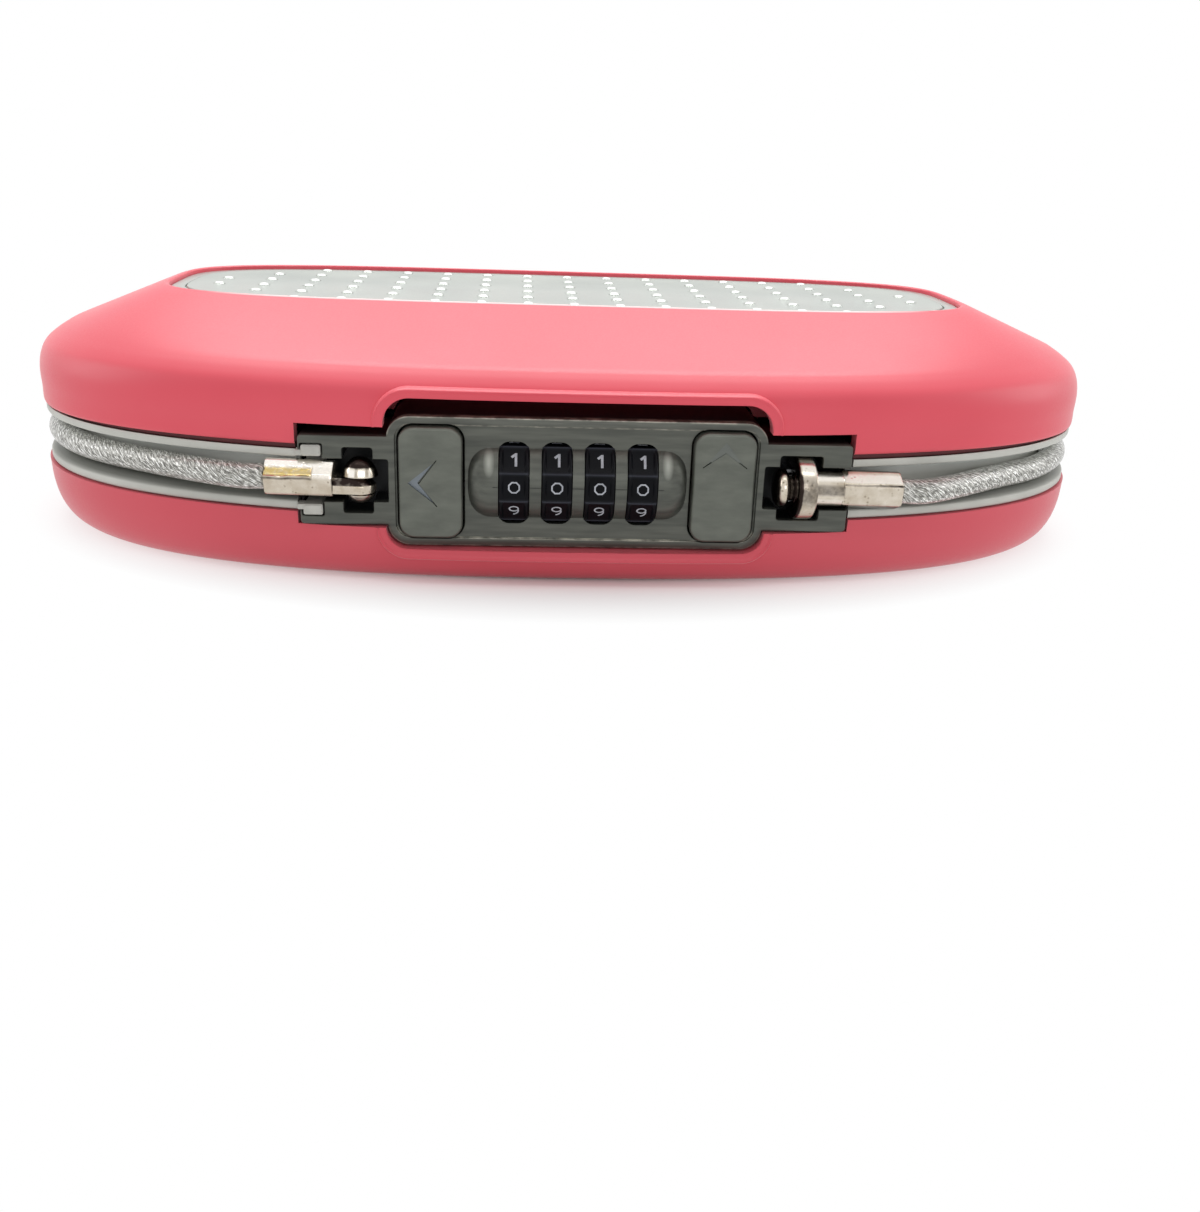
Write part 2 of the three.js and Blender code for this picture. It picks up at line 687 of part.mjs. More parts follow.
function striker() {
  const half = strikerWidth / 2;
  const legBottom = bandMiddle + barOffset - barHeight / 2 - strikerTail;
  const leg = box([strikerX - half, strikerY, legBottom],
    [strikerX + half, strikerY + strikerThickness, footTop]);
  const foot = box([strikerX - strikerFootWidth / 2, strikerY, footBottom],
    [strikerX + strikerFootWidth / 2, strikerY + strikerFoot, footTop]);
  const hookLow = legBottom + strikerTail - fitGap;
  const hook = box([strikerX + half - strikerHook, strikerY - overrun, hookLow],
    [strikerX + half + overrun, strikerY + strikerThickness + overrun, hookLow + barHeight + 2 * fitGap]);
  const holes = strikerScrews.map(([x, y]) =>
    rod(screwHole, 'z', footBottom - overrun, footTop + overrun, [x, y, 0], 8));
  return piece('striker', cutAll(leg.add(foot), [hook, ...holes]), finishes.steel);
}

// The lock, in its own frame: depth from the face along +Y, height from its centre.
const crossPlate = (from, to) => joinAll([
  frontPlate(roundedRect(plateWidth, plateHeight, plateCorner), from, to),
  frontPlate(roundedRect(wingSpan, wingHeight, wingCorner), from, to, 1),
]);
const dialCentre = (index) => (index - (dialCount - 1) / 2) * dialPitch;
const sleeveStart = (index) => dialCentre(index) + dialWidth / 2 + fitGap;
const cheekInner = sleeveStart(dialCount - 1) + sleeveWidth + cheekGap;
const cavityHalf = [plateWidth / 2 - lockSideWall, plateHeight / 2 - lockWall];
const wingCavityHalf = [wingSpan / 2 - lockSideWall, wingHeight / 2 - lockWall];
const spindleHole = spindleRadius + fitGap;
const coverScrews = [[-1, -1], [-1, 1], [1, -1], [1, 1]].map(([sideX, sideZ]) =>
  [sideX * (wingCavityHalf[0] - coverBossIn), sideZ * coverBossZ]);

const plugEnd = flangeHalf + collarLength + ferruleLength;

const neckX = flangeX - (flangeHalf + neckLength / 2) * Math.cos(fittingTilt)
  - (neckRadius + fitGap) * Math.sin(fittingTilt);

function lockHousing() {
  const inBody = [pocketDepth + pocketFloor, lockDepth + overrun];
  let body = crossPlate(0, lockDepth);
  body = body.subtract(frontPlate(roundedRect(plateWidth - 2 * bezelWidth, plateHeight - 2 * bezelWidth,
    plateCorner - bezelWidth), -overrun, fieldDrop));
  const arcSteps = [0, 1, 2, 3];
  const endRadius = dialAxisDepth - fieldDrop - fitGap;
  const flank = arcSteps.map((step) => {
    const angle = (Math.PI / 2) * (step / (arcSteps.length - 1));
    return [mix(endRadius, bossRadius, Math.cos(angle)), bossLength / 2 - bossRound * (1 - Math.sin(angle))];
  });
  const profile = [[0, -bossLength / 2], ...flank.toReversed().map(([r, x]) => [r, -x]), ...flank,
    [0, bossLength / 2]];
  const bossGeometry = new THREE.LatheGeometry(profile.map(([r, x]) => new THREE.Vector2(r, x)), 28);
  bossGeometry.rotateZ(-Math.PI / 2);
  bossGeometry.translate(0, dialAxisDepth, 0);
  const inFront = box([-plateWidth, -2 * bossRadius, -plateHeight], [plateWidth, lockFront, plateHeight]);
  body = body.add(solid(bossGeometry).intersect(inFront));

  const cuts = [
    frontPlate(roundedRect(2 * cavityHalf[0], 2 * cavityHalf[1], buttonCorner), lockFront,
      lockDepth + overrun),
    box([-wingCavityHalf[0], inBody[0], -wingCavityHalf[1]],
      [wingCavityHalf[0], inBody[1], wingCavityHalf[1]]),
  ];
  for (let dial = 0; dial < dialCount; dial += 1) {
    const x = dialCentre(dial);
    const half = dialWidth / 2 + slotSideGap;
    const slot = roundedRect(2 * half, slotHeight, slotCorner, x);
    cuts.push(frontPlate(slot, -bossRadius, lockFront + overrun, 1));
    const chamber = rod(dialRadius + dialCutGap, 'x', x - half, x + half, [0, dialAxisDepth, 0], 20);
    cuts.push(chamber.intersect(box([-plateWidth, fieldDrop + fitGap, -plateHeight],
      [plateWidth, lockDepth, plateHeight])));
  }
  cuts.push(rod(sleeveRadius + fitGap, 'x', dialCentre(0), cheekInner + fitGap, [0, dialAxisDepth, 0], 20));
  [-1, 1].forEach((side) => {
    cuts.push(frontPlate(roundedRect(buttonWidth + 2 * buttonGap, buttonHeight + 2 * buttonGap,
      buttonCorner + buttonGap, side * buttonCentre), -overrun, lockFront + overrun));
    const wide = side < 0 ? pocketWidth : flangePocketWidth - fitGap;
    const across = (from, to, half) => box([Math.min(side * from, side * to), -overrun, -half],
      [Math.max(side * from, side * to), pocketDepth, half]);
    cuts.push(across(narrowStart, wingSpan / 2 + overrun, channelHeight / 2));
    cuts.push(across(pocketStart, pocketStart + wide, pocketHeight / 2));
  });
  const clipHalf = clipOuter + fitGap;
  cuts.push(box([clipX - clipWidth / 2 - fitGap, -overrun, -clipHalf],
    [clipX + clipWidth / 2 + fitGap, pocketDepth, clipHalf]));
  cuts.push(box([neckX - catchThickness, pocketDepth - overrun, -catchHalf - fitGap],
    [neckX + catchThickness, inBody[0] + overrun, catchHalf + fitGap]));
  body = cutAll(body, cuts);

  [-1, 1].forEach((side) => {
    const places = [side * cheekInner, side * (cheekInner + cheekThickness)].sort((a, b) => a - b);
    body = body.add(box([places[0], lockFront - fitGap, -cavityHalf[1] - fitGap],
      [places[1], cheekDepth, cavityHalf[1] + fitGap]));
  });
  coverScrews.forEach(([x, z]) => {
    body = body.add(rod(coverBoss, 'y', inBody[0] - fitGap, lockDepth, [x, 0, z], 12));
    body = body.subtract(rod(coverHole, 'y', inBody[0] + overrun, lockDepth + overrun, [x, 0, z], 8));
  });
  body = body.add(box([latchSpringEnd + fitGap, inBody[0] + overrun, barOffset - barHeight / 2],
    [latchSpringEnd + fitGap + lockWall, lockDepth - fitGap, wingCavityHalf[1] + fitGap]));
  [-1, 1].forEach((side) => {
    const earX = side * housingEarX;
    const inner = side * (wingSpan / 2 - fitGap);
    const low = -housingEarDrop - earThickness / 2;
    body = body.add(box([Math.min(inner, earX), housingEarDepth - earRadius + fitGap, low],
      [Math.max(inner, earX), lockDepth, low + earThickness]));
    const earRound = lockDepth - housingEarDepth;
    body = body.add(rod(earRound, 'z', low, low + earThickness, [earX, housingEarDepth, 0], 12));
    body = body.subtract(rod(screwHole, 'z', low - overrun, low + earThickness + overrun,
      [earX, housingEarDepth, 0], 10));
  });
  const spindleReach = cheekInner + 2 * cheekThickness;
  body = body.subtract(rod(spindleHole, 'x', -spindleReach, spindleReach, [0, dialAxisDepth, 0]));
  return piece('lock_housing', body, finishes.lock);
}

const noseTip = strikerX + strikerWidth / 2 + fitGap;

function lockCover() {
  const from = lockDepth + fitGap;
  const to = from + coverThickness;
  const through = (x0, x1, z0, z1) => box([x0, from - overrun, z0], [x1, to + overrun, z1]);
  const cuts = coverScrews.map(([x, z]) => rod(coverHole, 'y', from - overrun, to + overrun, [x, 0, z], 8));
  cuts.push(through(latchNeck[0] - fitGap, latchNeck[1] + buttonTravel + fitGap,
    barOffset - noseHalf - fitGap, barOffset + noseHalf + fitGap));
  cuts.push(through(-resetShank[0] - fitGap, resetShank[0] + resetTravel + fitGap,
    resetOffset - resetShank[1] - fitGap, resetOffset + resetShank[1] + fitGap));
  return piece('lock_cover', cutAll(crossPlate(from, to), cuts), finishes.cover);
}

function coverScrewPieces() {
  return coverScrews.map(([x, z], index) => {
    const seat = lockDepth + coverThickness + 2 * fitGap;
    const body = rod(coverHead, 'y', seat, seat + screwHeadHeight, [x, 0, z], 10)
      .add(rod(coverShank, 'y', lockDepth / 2 + 2 * overrun, seat + overrun, [x, 0, z], 8));
    return piece(`cover_screw_${index + 1}`, body, finishes.steel);
  });
}

// One number wheel: a ten-sided prism with hollow facets and bevelled edges.
function dialWheel(index) {
  const points = [];
  for (let facet = 0; facet < dialFacets; facet += 1) {
    const middle = Math.PI + (2 * Math.PI * facet) / dialFacets;
    const edge = middle + Math.PI / dialFacets;
    const apothem = dialRadius * Math.cos(Math.PI / dialFacets) - dialHollow;
    points.push(new THREE.Vector2(apothem * Math.cos(middle), apothem * Math.sin(middle)));
    points.push(new THREE.Vector2(dialRadius * Math.cos(edge), dialRadius * Math.sin(edge)));
  }
  const geometry = new THREE.ExtrudeGeometry(new THREE.Shape(points), {
    depth: dialWidth - 2 * dialBevel, bevelSize: dialBevel, bevelOffset: -dialBevel,
    bevelThickness: dialBevel, bevelSegments: 1,
  });
  geometry.translate(0, 0, dialBevel - dialWidth / 2);
  geometry.rotateY(Math.PI / 2);
  geometry.rotateX(Math.PI / 2);
  const mesh = piece(`dial_wheel_${index + 1}`, solid(geometry)
    .subtract(rod(spindleHole, 'x', -dialWidth, dialWidth, [0, 0, 0])), finishes.dial);
  mesh.position.set(dialCentre(index), dialAxisDepth, 0);
  return mesh;
}

// The code sleeve beside a wheel: a disc with one gate for the locking bar's tooth.
function dialSleeve(index) {
  const gate = box([-overrun, sleeveRadius - gateDepth, -gateWidth / 2],
    [sleeveWidth + overrun, sleeveRadius + overrun, gateWidth / 2]);
  const disc = rod(sleeveRadius, 'x', 0, sleeveWidth, [0, 0, 0], 14)
    .subtract(rod(spindleHole, 'x', -overrun, sleeveWidth + overrun, [0, 0, 0]));
  const mesh = piece(`dial_sleeve_${index + 1}`, disc.subtract(gate), finishes.brass);
  mesh.position.set(sleeveStart(index), dialAxisDepth, 0);
  mesh.rotation.x = (2 * Math.PI * gateTurns[index]) / dialFacets;
  return mesh;
}

function detentSpring() {
  const floor = -cavityHalf[1] + fitGap;
  const top = -dialRadius - fitGap;
  const back = cheekDepth - fitGap;
  const leaf = 0.5;
  const rise = dialAxisDepth + leaf;
  const bend = mix(rise, back, 0.6);
  const strip = box([-cheekInner + overrun, back - barThickness, floor],
    [cheekInner - overrun, back, floor + leaf]);
  const fingers = Array.from({ length: dialCount }, (unused, dial) => sidePlate([
    [back - leaf, floor], [back - leaf, floor + leaf], [bend, floor + leaf], [rise, top],
    [rise - barThickness, top - leaf], [rise - barThickness, top - 2 * leaf], [rise, top - leaf],
    [bend, floor],
  ].toReversed(), dialCentre(dial) - rodHalf, dialCentre(dial) + rodHalf));
  return piece('detent_spring', joinAll([strip, ...fingers]), finishes.spring);
}

function lockingBar() {
  const back = cheekDepth + fitGap;
  const half = overrun;
  const bar = box([-cheekInner - overrun, back, -half], [cheekInner + overrun, back + barThickness, half]);
  const teeth = Array.from({ length: dialCount }, (unused, dial) => {
    const centre = sleeveStart(dial) + sleeveWidth / 2;
    const toothHalf = gateWidth / 2 - fitGap / 2;
    return box([centre - toothHalf, dialAxisDepth + sleeveRadius + fitGap, -half],
      [centre + toothHalf, back + half, half]);
  });
  return piece('locking_bar', joinAll([bar, ...teeth]), finishes.steel);
}

// The pad of a button with its retaining tab and spring peg.
function buttonBody(side) {
  const x = side * buttonCentre;
  const ring = (inset, depth) => roundedRect(buttonWidth - 2 * inset, buttonHeight - 2 * inset,
    buttonCorner - inset).getPoints(2).map((p) => new THREE.Vector3(p.x, p.y, -depth));
  const geometry = loftGeometry([ring(0, buttonBack), ring(0, buttonBevel - buttonProud),
    ring(buttonBevel, -buttonProud)]);
  geometry.rotateX(Math.PI / 2);
  geometry.translate(x, 0, 0);
  const ends = [buttonCentre - buttonWidth / 2 + fitGap, cheekInner + cheekThickness + tabGap]
    .map((end) => side * end).sort((a, b) => a - b);
  const tab = box([ends[0], lockFront + fitGap, -tabHalf], [ends[1], buttonBack, tabHalf]);
  const pegRadius = springRadius - springWire - fitGap;
  const peg = rod(pegRadius, 'y', buttonBack - fitGap, buttonBack + barHeight, [x, 0, 0], 10);
  return joinAll([solid(geometry), tab, peg]);
}

function leftButton() {
  const rodOut = box([-buttonCentre - rodHalf, buttonBack - fitGap, -barOffset - barHeight / 2],
    [-buttonCentre + rodHalf, barDepth - fitGap, -barOffset + barHeight / 2]);
  return piece('left_button', buttonBody(-1).add(rodOut), finishes.button);
}

// The right button's wedge pushes the latch sideways: both faces lie on a 45 degree line.
const wedgeSum = buttonCentre + rodHalf + buttonBack + wedgeReach - 2 * rodHalf;

function rightButton() {
  const left = buttonCentre - rodHalf;
  const right = buttonCentre + rodHalf;
  const wedge = floorPlate([[left, buttonBack - fitGap], [right, buttonBack - fitGap],
    [right, wedgeSum - right], [left, wedgeSum - left]], barOffset - noseHalf, barOffset + noseHalf);
  return piece('right_button', buttonBody(1).add(wedge), finishes.button);
}

function buttonSpring(name, side) {
  const start = buttonBack + fitGap;
  const coil = coilSpring(lockDepth - start, springRadius, springWire, springTurns);
  const mesh = piece(name, coil, finishes.spring);
  mesh.position.set(side * buttonCentre, start, 0);
  return mesh;
}

// The bar that the left button pushes, with the forked plate behind the plug's neck.
function cableCatch() {
  const low = -barOffset - barHeight / 2;
  const back = barDepth + barThickness;
  const plate = sidePlate([[catchFront, -catchHalf], [barDepth, -catchHalf], [barDepth, low], [back, low],
    [back, catchHalf], [catchFront, catchHalf]], neckX - catchThickness / 2, neckX + catchThickness / 2);
  const neckDepth = fittingDepth - (flangeX - neckX) * Math.tan(fittingTilt);
  const fork = rod(neckRadius + fitGap, 'x', neckX - overrun, neckX + overrun, [0, neckDepth, 0], 20);
  const bar = box([-buttonCentre - 2 * rodHalf, barDepth, low],
    [neckX + catchThickness / 2, back, low + barHeight]);
  return piece('cable_catch', plate.subtract(fork).add(bar), finishes.steel);
}

function lidLatch() {
  const line = wedgeSum + fitGap * Math.SQRT2;
  const start = buttonCentre - latchLead;
  const armLeft = latchNeck[1];
  const armTip = latchEnd - fitGap;
  const back = barDepth + barThickness + overrun / 2;
  const bar = floorPlate([[start, back], [start, barDepth], [armLeft, barDepth],
    [armLeft, line - armLeft], [armTip, line - armTip], [latchEnd, line - armTip], [latchEnd, back]],
    barOffset - barHeight / 2, barOffset + barHeight / 2);
  const low = barOffset - noseHalf;
  const high = barOffset + noseHalf;
  const hookDepth = strikerY - lockFaceY - fitGap;
  const neck = box([latchNeck[0], back - fitGap, low], [latchNeck[1], hookDepth + noseDepth, high]);
  const nose = box([noseTip, hookDepth, low], [latchNeck[1], hookDepth + noseDepth, high]);
  return piece('lid_latch', joinAll([bar, neck, nose]), finishes.steel);
}

function latchSpring() {
  const start = latchEnd + fitGap;
  const body = coilSpring(latchSpringEnd - start, springRadius / 2, springWire * 0.7, springTurns);
  const mesh = piece('latch_spring', body, finishes.spring);
  mesh.rotation.z = -Math.PI / 2;
  mesh.position.set(start, barDepth + barThickness / 2, barOffset);
  return mesh;
}

function resetLever() {
  const inside = lockDepth;
  const outside = lockDepth + coverThickness + 2 * fitGap;
  const block = (size, from, to) =>
    box([-size[0], from, resetOffset - size[1]], [size[0], to, resetOffset + size[1]]);
  const knob = block(resetKnob, outside, outside + resetKnob[2]);
  const shank = block(resetShank, inside - overrun, outside + overrun);
  const foot = block(resetFoot, inside - resetFoot[2], inside);
  return piece('reset_lever', joinAll([knob, shank, foot]), finishes.cover);
}

// A six-sided crimped ferrule along X with flats in front and behind.
function hexRod(from, to) {
  const radius = ferruleFlats / 2 / Math.cos(Math.PI / 6);
  const geometry = new THREE.CylinderGeometry(radius, radius, to - from, 6);
  geometry.rotateZ(-Math.PI / 2);
  geometry.translate((from + to) / 2, 0, 0);
  return solid(geometry);
}

function cablePlug() {
  const neckStart = -flangeHalf - neckLength;
  const headEnd = neckStart - headLength;
  const profile = [
    [0, headEnd], [headRadius - headRound, headEnd], [headRadius, headEnd + headRound],
    [headRadius, neckStart - headRound], [neckRadius, neckStart], [neckRadius, -flangeHalf],
    [flangeRadius - headRound / 2, -flangeHalf], [flangeRadius, headRound / 2 - flangeHalf],
    [flangeRadius, flangeHalf - headRound / 2], [flangeRadius - headRound / 2, flangeHalf],
    [collarRadius, flangeHalf], [collarRadius, flangeHalf + collarLength], [0, flangeHalf + collarLength],
  ];
  const body = turnedX(profile, 18).add(hexRod(flangeHalf + collarLength - fitGap, plugEnd));
  const mesh = piece('cable_plug', body, finishes.nickel);
  mesh.position.set(flangeX, fittingDepth, 0);
  mesh.rotation.z = fittingTilt;
  return mesh;
}

function leftFerrule() {
  const outline = new THREE.Shape();
  outline.absarc(0, 0, tongueHalf, Math.PI / 2, 1.5 * Math.PI);
  outline.lineTo(tongueReach, -tongueHalf);
  outline.lineTo(tongueReach, tongueHalf);
  const geometry = new THREE.ExtrudeGeometry(outline, {
    depth: tongueHeight, bevelEnabled: false, curveSegments: 8,
  });
  geometry.translate(0, 0, -clevisDrop - tongueHeight / 2);
  const tongue = solid(geometry).subtract(rod(pinThin + fitGap, 'z', -ballHeight, ballHeight, [0, 0, 0]));
  const neck = rod(ferruleNeck, 'x', tongueReach - 2 * overrun, tongueReach + overrun, [0, 0, 0], 16);
  const sleeve = hexRod(leftFerruleStart, leftFerruleStart + leftFerruleLength);
  const mesh = piece('left_ferrule', joinAll([tongue, neck, sleeve]), finishes.nickel);
  mesh.position.set(ballX, fittingDepth, 0);
  mesh.rotation.z = Math.PI - fittingTilt;
  return mesh;
}

function swivelBall() {
  const domes = new THREE.SphereGeometry(1, 16, 8);
  domes.rotateX(Math.PI / 2);
  domes.scale(ballRadius, ballRadius, ballHeight);
  const stemDepth = pocketDepth - fittingDepth - fitGap;
  const stem = box([-ballRadius + overrun, 0, -ballHeight + overrun / 2],
    [ballRadius - overrun, stemDepth, ballHeight - overrun / 2]);
  const slotHalf = tongueHeight / 2 + fitGap;
  const slot = box([-2 * ballRadius, -2 * ballRadius, -clevisDrop - slotHalf],
    [2 * ballRadius, tongueHalf + fitGap, slotHalf - clevisDrop]);
  const bore = rod(pinThin + fitGap, 'z', -ballHeight + 2 * fitGap, ballHeight - 2 * fitGap, [0, 0, 0], 12);
  const mesh = piece('swivel_ball', cutAll(solid(domes).add(stem), [slot, bore]), finishes.nickel);
  mesh.position.set(ballX, fittingDepth, 0);
  return mesh;
}

function swivelPin() {
  const reach = ballHeight - 3 * fitGap;
  const mesh = piece('swivel_pin', rod(pinThin, 'z', -reach, reach, [0, 0, 0], 12), finishes.nickel);
  mesh.position.set(ballX, fittingDepth, 0);
  return mesh;
}

function ferruleClip() {
  const back = pocketDepth - fitGap;
  const jaw = clipOuter - clipJaw;
  const body = sidePlate([
    [-clipProud, -clipOuter], [back, -clipOuter], [back, clipOuter], [-clipProud, clipOuter],
    [-clipProud, jaw], [back - clipWeb, jaw], [back - clipWeb, -jaw], [-clipProud, -jaw],
  ], clipX - clipWidth / 2, clipX + clipWidth / 2);
  const nubs = [-1, 1].map((side) => {
    const span = [side * (jaw - clipNub), side * (jaw + fitGap)].sort((a, b) => a - b);
    return box([clipX - clipWidth / 2, -clipProud, span[0]],
      [clipX - clipWidth / 2 + clipWeb, clipWeb, span[1]]);
  });
  return piece('ferrule_clip', joinAll([body, ...nubs]), finishes.clip);
}

// The cable: out of the left ferrule, round the left end, rear and right end in the groove,
// and into the right ferrule.
function securityCable() {
  const tiltX = Math.cos(fittingTilt);
  const tiltY = Math.sin(fittingTilt);
  const leftReach = leftFerruleStart + leftFerruleLength + fitGap;
  const rightReach = plugEnd + fitGap;
  const y = lockFaceY + fittingDepth;
  const left = (reach) => new THREE.Vector3(ballX - reach * tiltX, y + reach * tiltY, bandMiddle);
  const right = (reach) => new THREE.Vector3(flangeX + reach * tiltX, y + reach * tiltY, bandMiddle);
  const straight = cableDiameter;
  const halfLength = caseLength / 2 - cableInset;
  const halfDepth = caseDepth / 2 - cableInset;
  const power = (value) => Math.sign(value) * Math.abs(value) ** (2 / outlineExponent);
  const start = THREE.MathUtils.degToRad(cableEndAngle);
  const count = cableRoutePoints;
  const route = Array.from({ length: count + 1 }, (unused, step) => {
    const angle = -Math.PI / 2 - start - ((2 * Math.PI - 2 * start) * step) / count;
    return new THREE.Vector3(halfLength * power(Math.cos(angle)), halfDepth * power(Math.sin(angle)),
      bandMiddle);
  });
  const path = new THREE.CatmullRomCurve3([left(leftReach), left(leftReach + straight), ...route,
    right(rightReach + straight), right(rightReach)], false, 'centripetal');
  const section = new THREE.Shape();
  const radius = cableDiameter / 2;
  section.absarc(0, 0, radius, 0, 2 * Math.PI);
  const geometry = new THREE.ExtrudeGeometry(section, {
    steps: cableSteps, extrudePath: path, curveSegments: cableSides, bevelEnabled: false,
  });
  return piece('security_cable', solid(geometry), finishes.cable);
}

const safe = new THREE.Group();
safe.add(baseShell(), rimFrame(), lidShell(), inlayPlate(), ...liners(), striker(), securityCable());
strikerScrews.forEach(([x, y], index) =>
  safe.add(screw(`striker_screw_${index + 1}`, x, y, footBottom, strikerPostDrop - overrun, -1)));
framePosts.forEach(([x, y], index) =>
  safe.add(screw(`frame_screw_${index + 1}`, x, y, bandBottom + seamGap / 2 + earThickness, 2 * earRadius)));
safe.add(piece('hinge_pin', rod(pinRadius, 'x', -hingeLength / 2 + knuckleGap, hingeLength / 2 - knuckleGap,
  [0, hingeY, hingeZ], 12), finishes.steel));

const lock = new THREE.Group();
lock.position.set(0, lockFaceY, bandMiddle);
lock.add(lockHousing(), lockCover(), ...coverScrewPieces(), detentSpring(), lockingBar());
lock.add(piece('wheel_spindle', rod(spindleRadius, 'x', -cheekInner - cheekThickness - fitGap,
  cheekInner + cheekThickness + fitGap, [0, dialAxisDepth, 0]), finishes.steel));
for (let dial = 0; dial < dialCount; dial += 1) lock.add(dialWheel(dial), dialSleeve(dial));
lock.add(leftButton(), rightButton(), buttonSpring('left_spring', -1), buttonSpring('right_spring', 1));
lock.add(cableCatch(), lidLatch(), latchSpring(), resetLever());
lock.add(cablePlug(), leftFerrule(), swivelBall(), swivelPin(), ferruleClip());
[-1, 1].forEach((side, index) => lock.add(screw(`housing_screw_${index + 1}`, side * housingEarX,
  housingEarDepth, earThickness / 2 - housingEarDrop, 2 * earRadius)));
safe.add(lock);

export default safe;
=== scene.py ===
import math

import bmesh
import bpy
import numpy as np
from mathutils import Matrix


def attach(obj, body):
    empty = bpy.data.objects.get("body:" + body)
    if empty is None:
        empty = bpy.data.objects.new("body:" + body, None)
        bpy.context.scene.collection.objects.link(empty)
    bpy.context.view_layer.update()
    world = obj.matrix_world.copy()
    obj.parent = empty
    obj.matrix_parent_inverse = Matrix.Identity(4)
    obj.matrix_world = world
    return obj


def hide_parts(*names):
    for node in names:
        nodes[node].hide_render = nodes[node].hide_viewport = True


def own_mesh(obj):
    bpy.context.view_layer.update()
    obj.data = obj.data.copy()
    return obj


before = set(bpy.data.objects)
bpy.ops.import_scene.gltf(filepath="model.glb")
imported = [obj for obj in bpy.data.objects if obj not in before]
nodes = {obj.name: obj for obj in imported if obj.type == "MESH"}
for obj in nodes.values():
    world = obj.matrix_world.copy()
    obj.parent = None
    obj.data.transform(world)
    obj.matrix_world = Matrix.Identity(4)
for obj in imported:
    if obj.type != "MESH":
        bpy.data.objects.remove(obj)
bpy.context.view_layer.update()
mm = 0.001
print("stage: frame loaded")


# Puts a mesh, a lamp or a camera into the scene as an object.
def addObject(name, data):
    thing = bpy.data.objects.new(name, data)
    bpy.context.scene.collection.objects.link(thing)
    return thing


# Moves an object to a place in metres, with its own X, Y and Z along three directions.
def standObject(thing, place, *directions):
    turn = Matrix(np.column_stack(directions).tolist()).to_4x4()
    thing.matrix_world = Matrix.Translation(place) @ turn


# Camera, fitted to the photograph: a hand's length in front of the lock, looking down 21 degrees
view = {"eye": (-11.98, -310.8, 89.24), "yaw": 0.0704, "pitch": 0.3652, "roll": 0.0372, "lens": 37.641}
ahead = np.array([math.sin(view["yaw"]) * math.cos(view["pitch"]),
                  math.cos(view["yaw"]) * math.cos(view["pitch"]), -math.sin(view["pitch"])])
levelRight = np.array([math.cos(view["yaw"]), -math.sin(view["yaw"]), 0])
levelUp = np.cross(levelRight, ahead)
cameraRight = math.cos(view["roll"]) * levelRight + math.sin(view["roll"]) * levelUp
cameraUp = math.cos(view["roll"]) * levelUp - math.sin(view["roll"]) * levelRight
lens = bpy.data.cameras.new("camera")
lens.sensor_fit = "VERTICAL"
lens.sensor_height = 36
lens.lens = view["lens"]
lens.clip_start = 0.01
camera = addObject("camera", lens)
standObject(camera, [v * mm for v in view["eye"]], cameraRight, cameraUp, -ahead)
bpy.context.scene.camera = camera
bpy.context.scene.view_settings.view_transform = "Standard"
print("stage: camera")


# Materials
def toLinear(code):
    shares = np.array([int(code[i:i + 2], 16) for i in (1, 3, 5)]) / 255
    return [*np.where(shares <= 0.04045, shares / 12.92, ((shares + 0.055) / 1.055) ** 2.4), 1.0]


# The first output that a node has in use.
def result(node):
    return next(socket for socket in node.outputs if socket.enabled)


# A node with its settings and inputs; an input may be a value, a socket or a node, which gives its result.
def addNode(tree, kind, inputs=None, **settings):
    node = tree.nodes.new("ShaderNode" + kind)
    for name, value in settings.items():
        setattr(node, name, value)
    for name, value in (inputs or {}).items():
        source = result(value) if isinstance(value, bpy.types.Node) else value
        if isinstance(source, bpy.types.NodeSocket):
            tree.links.new(source, node.inputs[name])
        else:
            node.inputs[name].default_value = source
    return node


def startMaterial(name):
    material = bpy.data.materials.new(name)
    material.use_nodes = True
    tree = material.node_tree
    tree.nodes.clear()
    shader = addNode(tree, "BsdfPrincipled")
    return {"material": material, "tree": tree, "shader": shader,
            "output": addNode(tree, "OutputMaterial", {"Surface": shader}),
            "place": addNode(tree, "TexCoord").outputs["Object"]}


# Links the results of nodes to sockets of a material's shader, or sets them to one value all over.
def feed(parts, inputs):
    for socket, value in inputs.items():
        if isinstance(value, bpy.types.Node):
            parts["tree"].links.new(result(value), parts["shader"].inputs[socket])
        else:
            parts["shader"].inputs[socket].default_value = value


# A surface with broad mottling in its colour and a fine grain in its gloss and relief; sizes in mm.
def grained(look):
    parts = startMaterial(look["name"])
    tree = parts["tree"]
    spread, sized = (addNode(tree, "Mapping", {"Vector": parts["place"], "Scale": (1000 / size).tolist()})
                     for size in (np.ones(3) * look["mottle"], np.ones(3) * look["grain"]))
    broad = addNode(tree, "TexNoise", {"Vector": spread, "Scale": 1.0, "Detail": 3.0})
    swing = addNode(tree, "MapRange", {0: broad, 1: 0.3, 2: 0.7})
    parts["shade"] = addNode(tree, "Mix", {0: swing, 6: toLinear(look["dark"]), 7: toLinear(look["light"])},
                             data_type="RGBA")
    fine = addNode(tree, "TexNoise", {"Vector": sized, "Scale": 1.0, "Detail": 3.0, "Roughness": 0.6})
    gloss = addNode(tree, "MapRange", {0: fine, 1: 0.25, 2: 0.75, 3: look["gloss"][0], 4: look["gloss"][1]})
    parts["relief"] = addNode(tree, "Bump", {"Height": fine, "Distance": look["relief"] * mm})
    feed(parts, {"Base Color": parts["shade"], "Roughness": gloss, "Normal": parts["relief"],
                 **look.get("sockets", {})})
    return parts


